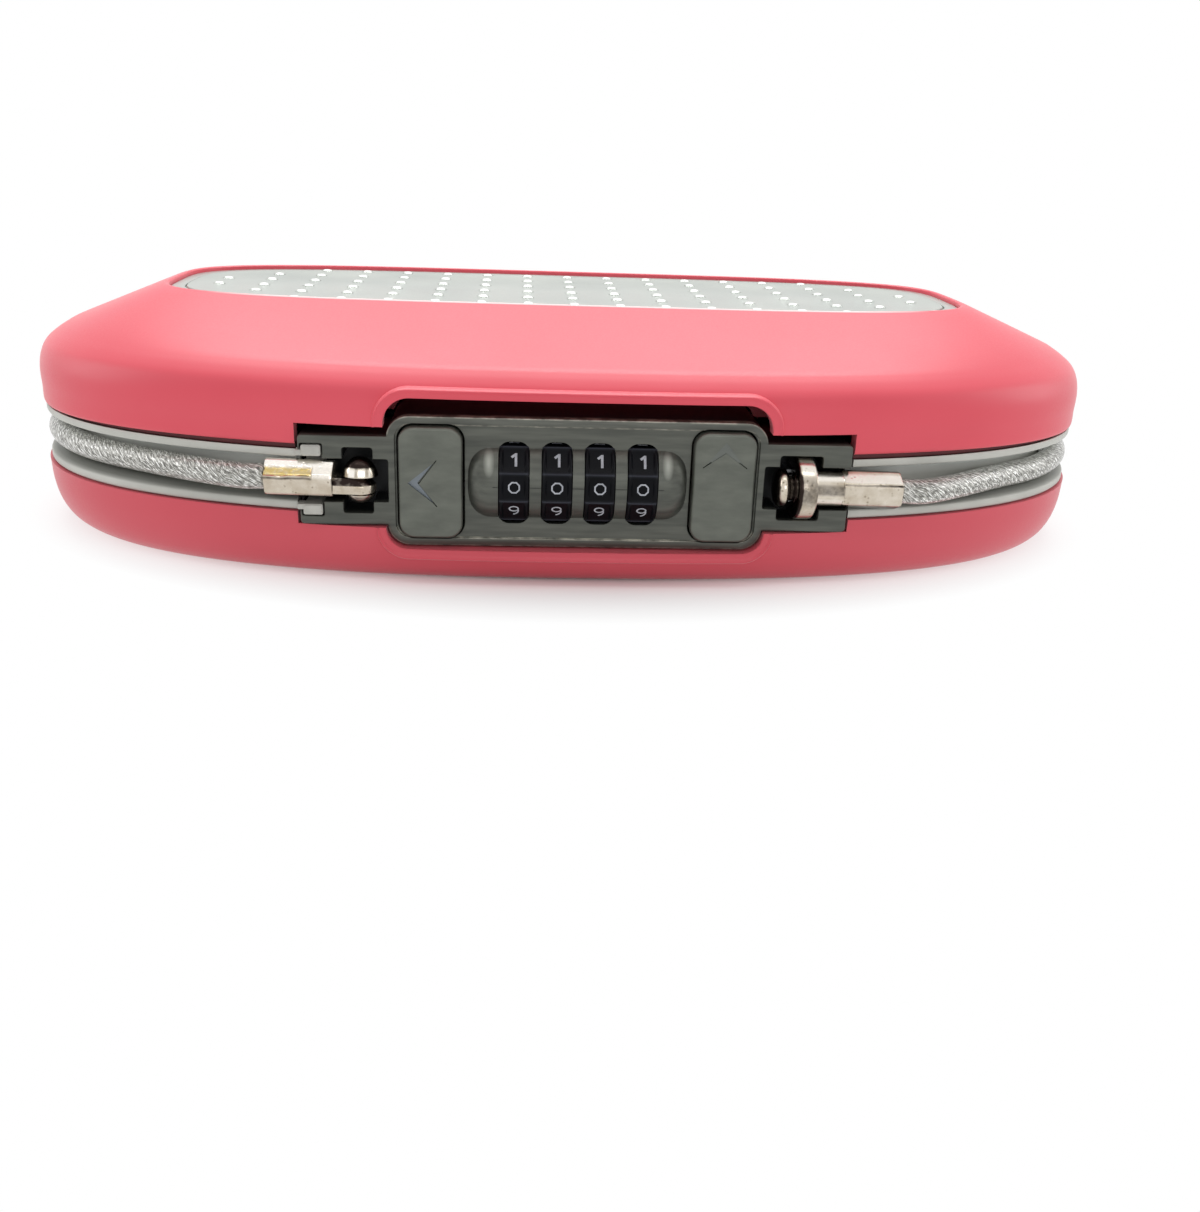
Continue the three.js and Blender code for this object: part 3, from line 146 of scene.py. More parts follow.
looks = {
    # injection-moulded ABS with a fine spark-eroded texture: a soft satin sheen
    "shell": {"name": "satinPinkAbs", "dark": "#DC4857", "light": "#E2505F", "mottle": 40, "grain": 0.4,
              "gloss": [0.36, 0.5], "relief": 0.01, "sockets": {"Sheen Weight": 0.22, "Sheen Roughness": 0.35}},
    # injection-moulded grey polypropylene: matt and slightly cloudy
    "band": {"name": "greyPolypropylene", "dark": "#B3B3AC", "light": "#C5C5BE", "mottle": 14, "grain": 0.3,
             "gloss": [0.42, 0.6], "relief": 0.01},
    # a dark red strip put in the gap under the lid, where there is only shade: painted shade, dull
    "shadeStrip": {"name": "darkRedShadeStrip", "dark": "#4A181C", "light": "#582024", "mottle": 6, "grain": 0.4,
             "gloss": [0.55, 0.7], "relief": 0.01},
    # zinc die casting, plated dark and brushed along its length: a fine level grain
    "lock": {"name": "brushedGunmetalZinc", "dark": "#484A45", "light": "#5E6059", "mottle": [14, 1.3, 1.3],
             "grain": [9, 0.16, 0.16], "gloss": [0.32, 0.5], "relief": 0.012, "sockets": {"Metallic": 0.55}},
    # zinc die casting, plated and tumbled: smoother than the plate round it
    "button": {"name": "satinPlatedZinc", "dark": "#5A5D56", "light": "#696C64", "mottle": [6, 2.5, 2.5],
               "grain": [2.5, 0.2, 0.2], "gloss": [0.34, 0.46], "relief": 0.006, "sockets": {"Metallic": 0.55}},
    # moulded black acetal: a dense dark gloss
    "dial": {"name": "blackAcetal", "dark": "#050609", "light": "#0B0C11", "mottle": 3, "grain": 0.25,
             "gloss": [0.26, 0.4], "relief": 0.005, "sockets": {"Specular IOR Level": 0.09}},
    # white epoxy ink pressed into the numbers: matt, a little grey from wear
    "ink": {"name": "wornWhiteInk", "dark": "#9A9DA5", "light": "#BDC0C7", "mottle": 1.2, "grain": 0.15,
            "gloss": [0.5, 0.7], "relief": 0.01},
    # turned and crimped brass, nickel plated: bright, warm where the plating is thin, pitted
    "nickel": {"name": "platedNickelBrass", "dark": "#B7AB98", "light": "#DAD1C3", "mottle": 3.5, "grain": 0.35,
               "gloss": [0.12, 0.28], "relief": 0.012, "sockets": {"Metallic": 0.95}},
    # stamped and zinc-plated steel: pale grey with a soft crystal sheen
    "steel": {"name": "zincPlatedSteel", "dark": "#8C8E91", "light": "#A8AAAC", "mottle": 4, "grain": 0.3,
              "gloss": [0.28, 0.44], "relief": 0.006, "sockets": {"Metallic": 1.0}},
    # drawn spring wire: bright with fine draw marks
    "spring": {"name": "drawnSpringSteel", "dark": "#A6A8AB", "light": "#C6C8CA", "mottle": 2, "grain": 0.12,
               "gloss": [0.2, 0.36], "relief": 0.004, "sockets": {"Metallic": 1.0}},
    # turned brass: yellow with fine tool rings
    "brass": {"name": "turnedBrass", "dark": "#BC974C", "light": "#D2AE64", "mottle": 3, "grain": [0.1, 1.5, 1.5],
              "gloss": [0.24, 0.38], "relief": 0.005, "sockets": {"Metallic": 1.0}},
    # moulded nylon in its natural colour: waxy off-white grey
    "clip": {"name": "naturalNylon", "dark": "#AFAEA7", "light": "#C2C1BA", "mottle": 3, "grain": 0.3,
             "gloss": [0.36, 0.5], "relief": 0.01},
    # anodised aluminium sheet, bead blasted: silver with a fine sparkle
    "inlay": {"name": "anodisedAluminium", "dark": "#A5AAA5", "light": "#B4B8B2", "mottle": 25, "grain": 0.3,
              "gloss": [0.26, 0.4], "relief": 0.006, "sockets": {"Metallic": 0.85}},
    # moulded black polyamide: dull with a faint flow pattern
    "cover": {"name": "blackPolyamide", "dark": "#222325", "light": "#313235", "mottle": 9, "grain": 0.35,
              "gloss": [0.46, 0.62], "relief": 0.015},
    # closed-cell foam sheet: dark, dry and open grained
    "foam": {"name": "charcoalFoam", "dark": "#26272A", "light": "#3A3B3F", "mottle": 5, "grain": 0.7,
             "gloss": [0.82, 0.98], "relief": 0.15, "sockets": {"Specular IOR Level": 0.25}},
}
made = {slot: grained(look) for slot, look in looks.items()}

# Nickel: round pits about 0.5 mm wide and warm beaten patches where "gold" is set. A per-point attribute paints the
# light:
# painted dark reflections and shade, broken into clouds, where it is above 0, and painted highlights where it is below
parts = made["nickel"]
tree, place = parts["tree"], parts["place"]
cells = addNode(tree, "TexVoronoi", {"Vector": place, "Scale": 1000 / 0.9})
pit = addNode(tree, "MapRange", {0: cells, 1: 0.34, 2: 0.08})
patch = addNode(tree, "TexNoise", {"Vector": place, "Scale": 1000 / 2.2, "Detail": 4.0})
pitted = addNode(tree, "MapRange", {0: patch, 1: 0.52, 2: 0.62})
hollow = addNode(tree, "Math", {0: pit, 1: pitted}, operation="MINIMUM")
depth = addNode(tree, "Math", {0: 1.0, 1: hollow}, operation="SUBTRACT")
tree.links.new(result(depth), parts["relief"].inputs["Height"])
parts["relief"].inputs["Distance"].default_value = 0.02 * mm
gold, paintedLight = (addNode(tree, "Attribute", attribute_name=name).outputs["Fac"] for name in ("gold", "paintedLight"))
beaten = addNode(tree, "TexNoise", {"Vector": place, "Scale": 1000 / 0.9, "Detail": 3.0})
dents = addNode(tree, "Math", {0: beaten, 1: gold}, operation="MULTIPLY")
feed(parts, {"Normal": addNode(tree, "Bump", {"Height": dents, "Distance": 0.1 * mm, "Normal": parts["relief"]})})
warm = addNode(tree, "MapRange", {0: beaten, 1: 0.36, 2: 0.6, 3: 0.5, 4: 0.95})
gilded = addNode(tree, "Math", {0: gold, 1: warm}, operation="MULTIPLY")
cloud = addNode(tree, "MapRange", {0: beaten, 1: 0.3, 2: 0.62, 3: 1.0, 4: 0.72})
# painted dark reflections and shade where the per-point attribute is above 0, broken into clouds
dark = addNode(tree, "Math", {0: paintedLight, 1: 0.0}, operation="MAXIMUM")
deep = addNode(tree, "Math", {0: dark, 1: cloud}, operation="MULTIPLY")
paintedDark = addNode(tree, "MapRange", {0: deep, 1: 0.05, 2: 0.55})
# painted highlights where the per-point attribute is below 0
brightened = addNode(tree, "MapRange", {0: paintedLight, 1: 0.0, 2: -1.0})
tones = {"nickel": [[gilded, "#CDB573"], [hollow, "#8F8470"], [paintedDark, "#2E2522"], [brightened, "#FDF8F0"]]}

# Lock plate, folded round its middle: edges lightened in patches of 2.5 mm by the distance to a rounded rectangle, as
# wear together with a painted edge highlight; a scored line on the barrel boss; beside each outer wheel, above the
# middle, a painted highlight spot 2.4 mm wide and 5.6 mm high; and painted shade on all that lies more than 0.8 mm
# behind the face, in its openings and pockets, full from 2.5 mm
parts = made["lock"]
tree, place = parts["tree"], parts["place"]
centred = addNode(tree, "Mapping", {"Vector": place, "Location": [0, 0, -21 * mm]})
flat = addNode(tree, "VectorMath", {0: centred, 1: [1, 0, 1]}, operation="MULTIPLY")
folded = addNode(tree, "VectorMath", {0: flat}, operation="ABSOLUTE")
sides = addNode(tree, "SeparateXYZ", {0: folded})
# pale edges: wear together with a painted edge highlight
edgeWearAndHighlight = 0.0
for halfWidth, halfHeight, radius, reach in [(38, 13.25, 4.5, 0.4), (36.3, 11.55, 2.8, 0.22)]:
    corner = [(halfWidth - radius) * mm, 0, (halfHeight - radius) * mm]
    past = addNode(tree, "VectorMath", {0: folded, 1: corner}, operation="SUBTRACT")
    held = addNode(tree, "VectorMath", {0: past, 1: [0, 0, 0]}, operation="MAXIMUM")
    length = addNode(tree, "VectorMath", {0: held}, operation="LENGTH")
    off = addNode(tree, "Math", {0: length, 1: radius * mm}, operation="SUBTRACT")
    near = addNode(tree, "Math", {0: off}, operation="ABSOLUTE")
    line = addNode(tree, "MapRange", {0: near, 1: reach * mm, 2: 0.3 * reach * mm})
    edgeWearAndHighlight = addNode(tree, "Math", {0: edgeWearAndHighlight, 1: line}, operation="MAXIMUM")
patch = addNode(tree, "TexNoise", {"Vector": place, "Scale": 1000 / 2.5, "Detail": 5.0})
brightened = addNode(tree, "MapRange", {0: patch, 1: 0.4, 2: 0.65, 3: 0.15, 4: 0.8})
edges = addNode(tree, "Math", {0: edgeWearAndHighlight, 1: brightened}, operation="MULTIPLY")
edges = addNode(tree, "MapRange", {0: sides.outputs["Z"], 1: 9.3 * mm, 2: 9.8 * mm, 4: edges})
middle = addNode(tree, "MapRange", {0: sides.outputs["Z"], 1: 0.12 * mm, 2: 0.06 * mm})
scored = addNode(tree, "MapRange", {0: sides.outputs["X"], 1: 17.2 * mm, 2: 16.8 * mm, 4: middle})
# a painted highlight spot beside each outer wheel
aside = addNode(tree, "VectorMath", {0: folded, 1: [17.8 * mm, 0, 4.6 * mm]}, operation="SUBTRACT")
aside = addNode(tree, "VectorMath", {0: aside, 1: [1000 / 1.2, 0, 1000 / 2.8]}, operation="MULTIPLY")
away = addNode(tree, "VectorMath", {0: aside}, operation="LENGTH")
paintedHighlightSpot = addNode(tree, "MapRange", {0: away, 1: 1.0, 2: 0.15, 4: 0.42})
# the tones: pale worn and highlit edges, the scored line, the painted highlight spots, and painted shade in the
# openings and pockets
tones["lock"] = [[edges, "#C4C0B2"], [scored, "#2A2B29"], [paintedHighlightSpot, "#CDD0C6", ["Z", 21, 22]],
                 [1.0, "#1C1D1F", ["Y", -64.2, -62.5]]]

# Clear vinyl over a fourteen-strand steel rope with a 23 mm right-hand lay: u runs along in mm, v once round. The wires
# show as dashes about 0.8 mm long and 0.24 mm wide along the strands, drawn in a frame that turns with the lay. The
# grooves between the strands and the gaps between the dashes are painted darker as painted shade, and the brightest
# dashes are painted near-white as painted glints.
rope = {"name": "vinylSteelRope", "strands": 14.0, "lay": 23, "dash": 0.8, "wire": 0.24, "radius": 2.6}
parts = made["cable"] = startMaterial(rope["name"])
tree = parts["tree"]
wound = addNode(tree, "SeparateXYZ", {0: addNode(tree, "UVMap", uv_map="rope")})
loose = addNode(tree, "TexNoise", {"Vector": parts["place"], "Scale": 1000 / 2.5, "Detail": 2.0})
drift = addNode(tree, "MapRange", {0: loose, 1: 0.2, 2: 0.8, 3: -0.03, 4: 0.03})
around = addNode(tree, "Math", {0: wound.outputs["Y"], 1: drift}, operation="ADD")
phase = addNode(tree, "Math", {0: wound.outputs["X"], 1: -1 / rope["lay"], 2: around}, operation="MULTIPLY_ADD")
counted = addNode(tree, "Math", {0: phase, 1: rope["strands"]}, operation="MULTIPLY")
ridge = addNode(tree, "Math", {0: counted, 1: 0.5}, operation="PINGPONG")
strand = addNode(tree, "MapRange", {0: ridge, 1: 0.02, 2: 0.28, 3: 0.3, 4: 1.0})
angle = addNode(tree, "Math", {0: phase, 1: 2 * math.pi}, operation="MULTIPLY")
dashes = addNode(tree, "Math", {0: wound.outputs["X"], 1: 1 / rope["dash"]}, operation="MULTIPLY")
turning = addNode(tree, "CombineXYZ", {0: dashes})
for socket, operation in [(1, "COSINE"), (2, "SINE")]:
    swung = addNode(tree, "Math", {0: angle}, operation=operation)
    spread = addNode(tree, "Math", {0: swung, 1: rope["radius"] / rope["wire"]}, operation="MULTIPLY")
    tree.links.new(result(spread), turning.inputs[socket])
wires = addNode(tree, "TexNoise", {"Vector": turning, "Scale": 1.0, "Detail": 2.0, "Roughness": 0.55})
# painted shade: darker in the grooves between the strands and between the wire dashes
held = addNode(tree, "MapRange", {0: wires, 1: 0.38, 2: 0.5, 4: strand})
# painted glints on the brightest dashes
paintedGlints = addNode(tree, "MapRange", {0: wires, 1: 0.54, 2: 0.6, 4: strand})
parts["shade"] = addNode(tree, "Mix", {0: held, 6: toLinear("#5A5954"), 7: toLinear("#B4B3AB")}, data_type="RGBA")
height = addNode(tree, "Math", {0: wires, 1: 0.8, 2: strand}, operation="MULTIPLY_ADD")
feed(parts, {"Normal": addNode(tree, "Bump", {"Height": height, "Distance": 0.06 * mm}), "Metallic": 0.2,
             "Roughness": 0.34, "Coat Weight": 0.4, "Coat Roughness": 0.15})

# Tones laid over the colour one by one, each with its share and the places in mm where that rises from 0 to 1. On the
# cable the brightest wire dashes are painted glints. The base is painted a shade deeper than the lid: painted shade.
# The crest of the rim is painted pale along the inlay's front: a painted highlight. The band's groove is painted darker
# at its foot under the cable, as painted shade, and paler above the cable under the lip, as painted light. The tops of
# the inlay's domes are painted white and the ridges of the wheels paler: painted highlights.
tones |= {
    "cable": [[paintedGlints, "#FFFFFC"]],
    "shell": [[0.5, "#BE4551", ["Z", 14.4, 14.2]], [0.8, "#FFEDEA", ["Z", 51.78, 51.95], ["Y", -26, -30]]],
    "band": [[1.0, "#84857F", ["Z", 20.5, 17.0], ["Z", 16.0, 16.6]],
             [1.0, "#ECEEEA", ["Z", 21.5, 23.5], ["Z", 25.3, 24.9]]],
    "inlay": [[1.0, "#FAFBF8", ["Z", 51.35, 51.44]]],
    "button": [[addNode(made["button"]["tree"], "Attribute", attribute_name="cut").outputs["Fac"], "#767D83"]],
    "dial": [[addNode(made["dial"]["tree"], "Attribute", attribute_name="ridge").outputs["Fac"], "#383A42"]],
}
for slot, layers in tones.items():
    parts = made[slot]
    tree, shade = parts["tree"], parts["shade"]
    for share, colour, *spans in layers:
        for axis, start, end in spans:
            axes = addNode(tree, "SeparateXYZ", {0: parts["place"]})
            share = addNode(tree, "MapRange", {0: axes.outputs[axis], 1: start * mm, 2: end * mm, 4: share})
        shade = addNode(tree, "Mix", {0: share, 6: shade, 7: toLinear(colour)}, data_type="RGBA")
    feed(parts, {"Base Color": shade})
finish = {slot: parts["material"] for slot, parts in made.items()}
print("stage: materials")


# Meshes
def closeMesh(mesh, smoothAngle):
    work = bmesh.new()
    work.from_mesh(mesh)
    bmesh.ops.remove_doubles(work, verts=work.verts, dist=1e-7)
    bmesh.ops.dissolve_degenerate(work, dist=1e-7, edges=work.edges)
    bmesh.ops.recalc_face_normals(work, faces=work.faces)
    work.to_mesh(mesh)
    work.free()
    mesh.shade_smooth()
    mesh.set_sharp_from_angle(angle=math.radians(smoothAngle))


def meshObject(name, points, faces, smoothAngle=35):
    mesh = bpy.data.meshes.new(name)
    mesh.from_pydata((np.asarray(points) * mm).tolist(), [], faces)
    closeMesh(mesh, smoothAngle)
    return addObject(name, mesh)


# The points of an object in mm.
def pointsOf(thing):
    places = np.zeros(len(thing.data.vertices) * 3)
    thing.data.vertices.foreach_get("co", places)
    return places.reshape(-1, 3) / mm


# Gives each point of an object a number that its material reads by name.
def markPoints(thing, name, values):
    thing.data.attributes.new(name, "FLOAT", "POINT").data.foreach_set("value", values)


# A finished piece: its material, the body that it moves with and the nodes that it stands for.
def finishPiece(thing, slot, body, *stands):
    thing.data.materials.clear()
    thing.data.materials.append(finish[slot])
    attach(thing, body)
    if stands:
        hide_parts(*stands)
    return thing


# The skin between rows of points: quads row to row, closed round each row.
def skin(rows, looped=False):
    rows = np.asarray(rows, float)
    count, steps = rows.shape[:2]
    index = np.arange(count * steps).reshape(count, steps)
    low, high = (index, np.roll(index, -1, 0)) if looped else (index[:-1], index[1:])
    quads = np.stack([low, np.roll(low, -1, 1), np.roll(high, -1, 1), high], -1).reshape(-1, 4).tolist()
    if not looped:
        quads += [index[0][::-1].tolist(), index[-1].tolist()]
    return rows.reshape(-1, 3), quads


# Several skins as one set of points and faces.
def gather(shapes):
    starts = np.cumsum([0] + [len(points) for points, faces in shapes])
    faces = [[corner + start for corner in face] for (points, some), start in zip(shapes, starts) for face in some]
    return np.concatenate([points for points, some in shapes]), faces


# Rows of control values joined by a cubic with matching slopes, spaced by the root of their distances.
def smoothRows(rows, count):
    rows = np.asarray(rows, float)
    along = np.concatenate([[0], np.cumsum(np.sqrt(np.linalg.norm(np.diff(rows, axis=0), axis=1)) + 1e-9)])
    slopes = np.gradient(rows, along, axis=0)
    where = np.linspace(0, along[-1], count)
    step = np.clip(np.searchsorted(along, where, "right") - 1, 0, len(rows) - 2)
    width = (along[step + 1] - along[step])[:, None]
    share = (where - along[step])[:, None] / width
    return ((2 * share ** 3 - 3 * share ** 2 + 1) * rows[step] + (3 * share ** 2 - 2 * share ** 3) * rows[step + 1]
            + (share ** 3 - 2 * share ** 2 + share) * width * slopes[step]
            + (share ** 3 - share ** 2) * width * slopes[step + 1])


# A level oval: |x / half length| ^ n + |y / half depth| ^ n = 1.
def oval(halfLength, halfDepth, exponent, z, steps=288):
    angles = np.linspace(0, 2 * np.pi, steps, endpoint=False)
    cosine, sine = np.cos(angles), np.sin(angles)
    return np.column_stack([halfLength * np.sign(cosine) * np.abs(cosine) ** (2 / exponent),
                            halfDepth * np.sign(sine) * np.abs(sine) ** (2 / exponent), np.full(steps, float(z))])


# A rounded rectangle in X and Z: four quarter circles joined by straight sides.
def roundRect(width, height, radius, centreX=0.0, centreZ=0.0, corner=9):
    turns = np.concatenate([np.linspace(0, np.pi / 2, corner) + quarter * np.pi / 2 for quarter in range(4)])
    corners = np.repeat([[1, 1], [-1, 1], [-1, -1], [1, -1]], corner, 0) * [width / 2 - radius, height / 2 - radius]
    return corners + radius * np.column_stack([np.cos(turns), np.sin(turns)]) + [centreX, centreZ]


# Flat outlines in X and Z, one at each depth along Y, with a skin between them.
def stacked(outlines, depths):
    return skin([np.column_stack([flat[:, 0], np.full(len(flat), float(y)), flat[:, 1]])
                 for flat, y in zip(outlines, depths)])


# A box between two opposite corners.
def block(one, other):
    low, high = np.minimum(one, other), np.maximum(one, other)
    outline = np.array([[high[0], low[2]], [high[0], high[2]], [low[0], high[2]], [low[0], low[2]]])
    return stacked([outline, outline], [low[1], high[1]])


# A turned shape: rows of [radius, place] carried round an axis through a centre.
def turned(profile, axis, centre=(0, 0, 0), steps=48, looped=False):
    profile = np.asarray(profile, float)
    angles = np.linspace(0, 2 * np.pi, steps, endpoint=False)
    first, second = {"x": ([0, 1, 0], [0, 0, 1]), "y": ([0, 0, 1], [1, 0, 0]), "z": ([1, 0, 0], [0, 1, 0])}[axis]
    around = np.cos(angles)[:, None] * np.array(first) + np.sin(angles)[:, None] * np.array(second)
    return skin(profile[:, 0, None, None] * around[None] + profile[:, 1, None, None] * np.cross(first, second)
                + np.asarray(centre, float), looped)


# A plain round bar, or the cutter of a bore.
def rod(radius, low, high, axis, centre, steps):
    return turned([[radius, low], [radius, high]], axis, centre, steps)


# A solid after other solids are joined to it or cut from it, one by one.
def combined(name, start, steps, smoothAngle=35):
    thing = meshObject(name, *start)
    for action, shape in steps:
        tool = meshObject("tool", *shape)
        change = thing.modifiers.new("change", "BOOLEAN")
        change.operation = {"join": "UNION", "cut": "DIFFERENCE"}[action]
        change.solver = "EXACT"
        change.object = tool
        changed = bpy.data.meshes.new_from_object(thing.evaluated_get(bpy.context.evaluated_depsgraph_get()))
        thing.modifiers.clear()
        thing.data = changed
        bpy.data.objects.remove(tool)
    closeMesh(thing.data, smoothAngle)
    thing.data.name = name
    return thing


case = {"halfLength": 121, "halfDepth": 67.5, "exponent": 2.59, "wall": 2.5}
lockPlace = {"faceY": -65, "middle": 21, "halfWidth": 38, "halfHeight": 13.25, "corner": 4.5, "wingHalf": 55.3,
             "wingHalfHeight": 9.1, "wingCorner": 0.8, "depth": 20.59, "axleDepth": 5.70, "wheelPitch": 8.54,
             "buttonX": 29.3}
# the room in front between the shells for the lock, from one corner to the other
lockRoom = [[-56, -80, 0], [56, -44.4, 60]]
framePosts = [[s * 104, t * 22.005] for s in (1, -1) for t in (1, -1)] + [[s * 50.094, 50.5] for s in (1, -1)]
earPosts = [[s * 59.8, -48.41] for s in (1, -1)]


def caseOval(inset, z):
    inset = max(inset, 0)
    return oval(case["halfLength"] - inset, case["halfDepth"] - inset, case["exponent"], z)


# The lip round the lock: a pad between an inner and an outer round-cornered outline, with a bead along its outer edge
lip = {
    "shares": [0, 0.03, 0.12, 0.4, 0.6, 0.72, 0.84, 0.94, 1.0, 1.0],
    "faceY": [-66.9, -67.35, -67.5, -67.5, -67.52, -67.72, -67.86, -67.6, -66.9, -64.2], "follow": 0.8, "sink": 0.5,
}


# Each point of the pad lies between the two outlines by its share across, at the depth that the share has; the pad
# goes back towards its sides by most of what the case's oval does, and sinks a little at its two ends.
def lipPad(inner, outer, startZ):
    sign = 1 if inner["far"] > startZ else -1
    routes = []
    for edge in (inner, outer):
        turns = np.linspace(0, np.pi / 2, 16)
        half, far, corner = edge["half"], edge["far"], edge["corner"]
        arc = np.column_stack([half - corner + corner * np.cos(turns), far + sign * corner * (np.sin(turns) - 1)])
        side = np.column_stack([np.full(8, half), np.linspace(startZ, far - sign * corner, 9)[:-1]])
        top = np.column_stack([np.linspace(half - corner, 0, 9)[1:], np.full(8, far)])
        right = np.concatenate([side, arc, top])
        routes.append(np.concatenate([right, right[-2::-1] * [-1, 1]]))
    across = np.array(lip["shares"])[None, :, None]
    flat = routes[0][:, None] * (1 - across) + routes[1][:, None] * across
    oval = (1 - np.abs(flat[..., 0] / case["halfLength"]) ** case["exponent"]) ** (1 / case["exponent"])
    ending = np.clip((4 - np.abs(flat[..., 1] - startZ)) / 4, 0, 1) * lip["sink"]
    depth = np.array(lip["faceY"]) + lip["follow"] * case["halfDepth"] * (1 - oval) + ending
    face = np.stack([flat[..., 0], depth, flat[..., 1]], -1)
    back = face[:, :1] * [1, 0, 1] + [0, lip["faceY"][-1] + 2, 0]
    return skin(np.concatenate([face, back], 1))


frontCutter = {"half": 56, "y": [-75, -54.7], "tall": 60, "wingTall": 40}


# The opening in front: a round-cornered middle and two square-cornered wings.
def frontCuts(notch, sign):
    half, (front, behind), tall = frontCutter["half"], frontCutter["y"], frontCutter["tall"]
    middle = roundRect(2 * notch["half"], tall, notch["corner"], 0, notch["far"] - sign * tall / 2, 14)
    wingFar = notch["wing"] - sign * frontCutter["wingTall"]
    return [("cut", stacked([middle, middle], frontCutter["y"])),
            ("cut", block([-half, front, notch["wing"]], [half, behind, wingFar]))]


# Base shell
base = {
    "top": 14.15, "earTop": 13.9, "roundInset": 5.5,
    "outerShares": [[0, 1], [0.06, 0.77], [0.18, 0.48], [0.38, 0.22], [0.65, 0.06], [1, 0]],
    "innerShares": [[1, 0], [0.5, 0.1], [0.16, 0.5], [0, 1]],
    "notch": {"half": 38.3, "far": 7.45, "corner": 4.5, "wing": 11.6},
    "lip": {"half": 40.3, "far": 5.2, "corner": 6.6},
    "post": {"radius": 3.5, "bevel": 0.3, "bore": 1.7, "foot": 2.2, "boreFoot": 5},
}
outerRows = smoothRows([[base["top"] * up, base["roundInset"] * out] for up, out in base["outerShares"]], 22)
innerRows = smoothRows([[case["wall"] + (base["top"] - case["wall"]) * up, case["wall"] + base["roundInset"] * out]
                        for up, out in base["innerShares"]], 14)
post = base["post"]
shapes = [("join", turned([[post["radius"], post["foot"]], [post["radius"], top - post["bevel"]],
                           [post["radius"] - post["bevel"], top], [post["bore"], top],
                           [post["bore"], post["boreFoot"]]], "z", [x, y, 0], 32))
          for places, top in [(framePosts, base["top"]), (earPosts, base["earTop"])] for x, y in places]
shapes.append(("join", lipPad(base["notch"], base["lip"], base["notch"]["wing"] + 1)))
baseShell = combined("baseShell", skin([caseOval(inset, z) for z, inset in [*outerRows, *innerRows]]),
                     shapes + frontCuts(base["notch"], -1))
finishPiece(baseShell, "shell", "case", "base_shell")
print("stage: base shell")

# Lid shell: wall, sloped shoulder and the rim round the inlay
lid = {
    "seam": 27.7, "bottom": 27.85, "edgeZ": 43, "edgeRise": 8.6, "edgeInset": 6.2,
    "insideTop": [0.8256, 47.6], "insideWall": [[8.7, 40.5], [3.9, 36.88], [3.9, 27.85]],
    "dip": {"depth": 0.85, "start": 56, "reach": 62, "fade": 5},
    "foot": [[0, 0.75], [0.1, 0.42], [0.35, 0.22], [0.8, 0.12]],
    "wallShares": [[0.2, 0.02], [0.41, 0], [0.62, 0.08], [0.78, 0.27], [0.9, 0.61], [1, 1]],
    "rim": [[1.5, 51.86], [1.25, 51.96], [1.05, 52], [0.8, 52], [0.55, 51.94], [0.38, 51.78], [0.32, 51.5],
            [0.3, 49.8]],
    "notch": {"half": 38.5, "far": 38.0, "corner": 5.4, "wing": 32.15},
    "lip": {"half": 40.8, "far": 40.1, "corner": 7.5},
    # the curtain behind the notch, in two steps, cut out behind the lock's plate
    "curtain": [[[-55.3, -45.9, 31.4], [55.3, -44.41, 40]], [[-51.3, -45.9, 39], [51.3, -44.41, 46.2]]],
    "behindPlate": {"outline": [76.6, 40, 4.5, 0, 14.55], "y": [-50, -42]},
    "posts": {"x": [12.49, 25.49], "y": -34.91, "profile": [[3.0, 44.0], [3.0, 47.8], [1.7, 47.8], [1.7, 44.0]]},
}
hinge = {"y": 68.7, "z": 28.0, "radius": 2.5, "pin": 1.4, "length": 12, "gap": 0.4, "arm": 5,
         "boreHalf": 36, "lidArm": [28.15, 30.5], "bandArm": [26.2, 27.55]}


# The knuckles of one side of the hinge: rounded barrels with an arm each, every other one from the first.
def knuckles(first, armLow, armHigh):
    radius, gap, place = hinge["radius"], hinge["gap"], [0, hinge["y"], hinge["z"]]
    shapes = []
    for step in range(first, 5, 2):
        low, high = (step - 2.5) * hinge["length"] + gap / 2, (step - 1.5) * hinge["length"] - gap / 2
        barrel = [[radius - 0.3, low], [radius, low + 0.3], [radius, high - 0.3], [radius - 0.3, high]]
        shapes.append(("join", block([low, hinge["y"] - hinge["arm"], armLow], [high, hinge["y"], armHigh])))
        shapes.append(("join", turned(barrel, "x", place, 48)))
    for step in range(1 - first, 5, 2):
        low, high = (step - 2.5) * hinge["length"] - gap / 2, (step - 1.5) * hinge["length"] + gap / 2
        shapes.append(("cut", rod(radius + gap, low, high, "x", place, 48)))
    return [*shapes, ("cut", rod(hinge["pin"], -hinge["boreHalf"], hinge["boreHalf"], "x", place, 32))]


inlay = {"halfLength": 91.5, "halfDepth": 31, "exponent": 3.86, "pitch": 10.2, "radius": 1.4, "field": 51.1,
         "height": 0.42, "rows": [2, 4, *[6] * 13, 4, 2],
         "edge": [[0, 50.1], [0, 50.95], [-0.08, 51.04], [-0.2, 51.08], [-2.75, 51.08], [-2.85, 51.0], [-2.9, 50.6],
                  [-3.15, 50.6], [-3.2, 51.0], [-3.3, 51.2], [-3.5, 51.28], [-3.75, 51.26], [-4.2, 51.1]]}


def inlayOval(grow, z):
    return oval(inlay["halfLength"] + grow, inlay["halfDepth"] + grow, inlay["exponent"], z)


# A ring of the shoulder: its half axes and exponent lie between the wall's and the rim's by its share of the height.
def shoulderOval(share, z):
    wall = np.array([case["halfLength"] - lid["edgeInset"], case["halfDepth"] - lid["edgeInset"], case["exponent"]])
    rim = np.array([inlay["halfLength"] + 2.4, inlay["halfDepth"] + 2.4, inlay["exponent"]])
    return oval(*(wall + (rim - wall) * share), z)


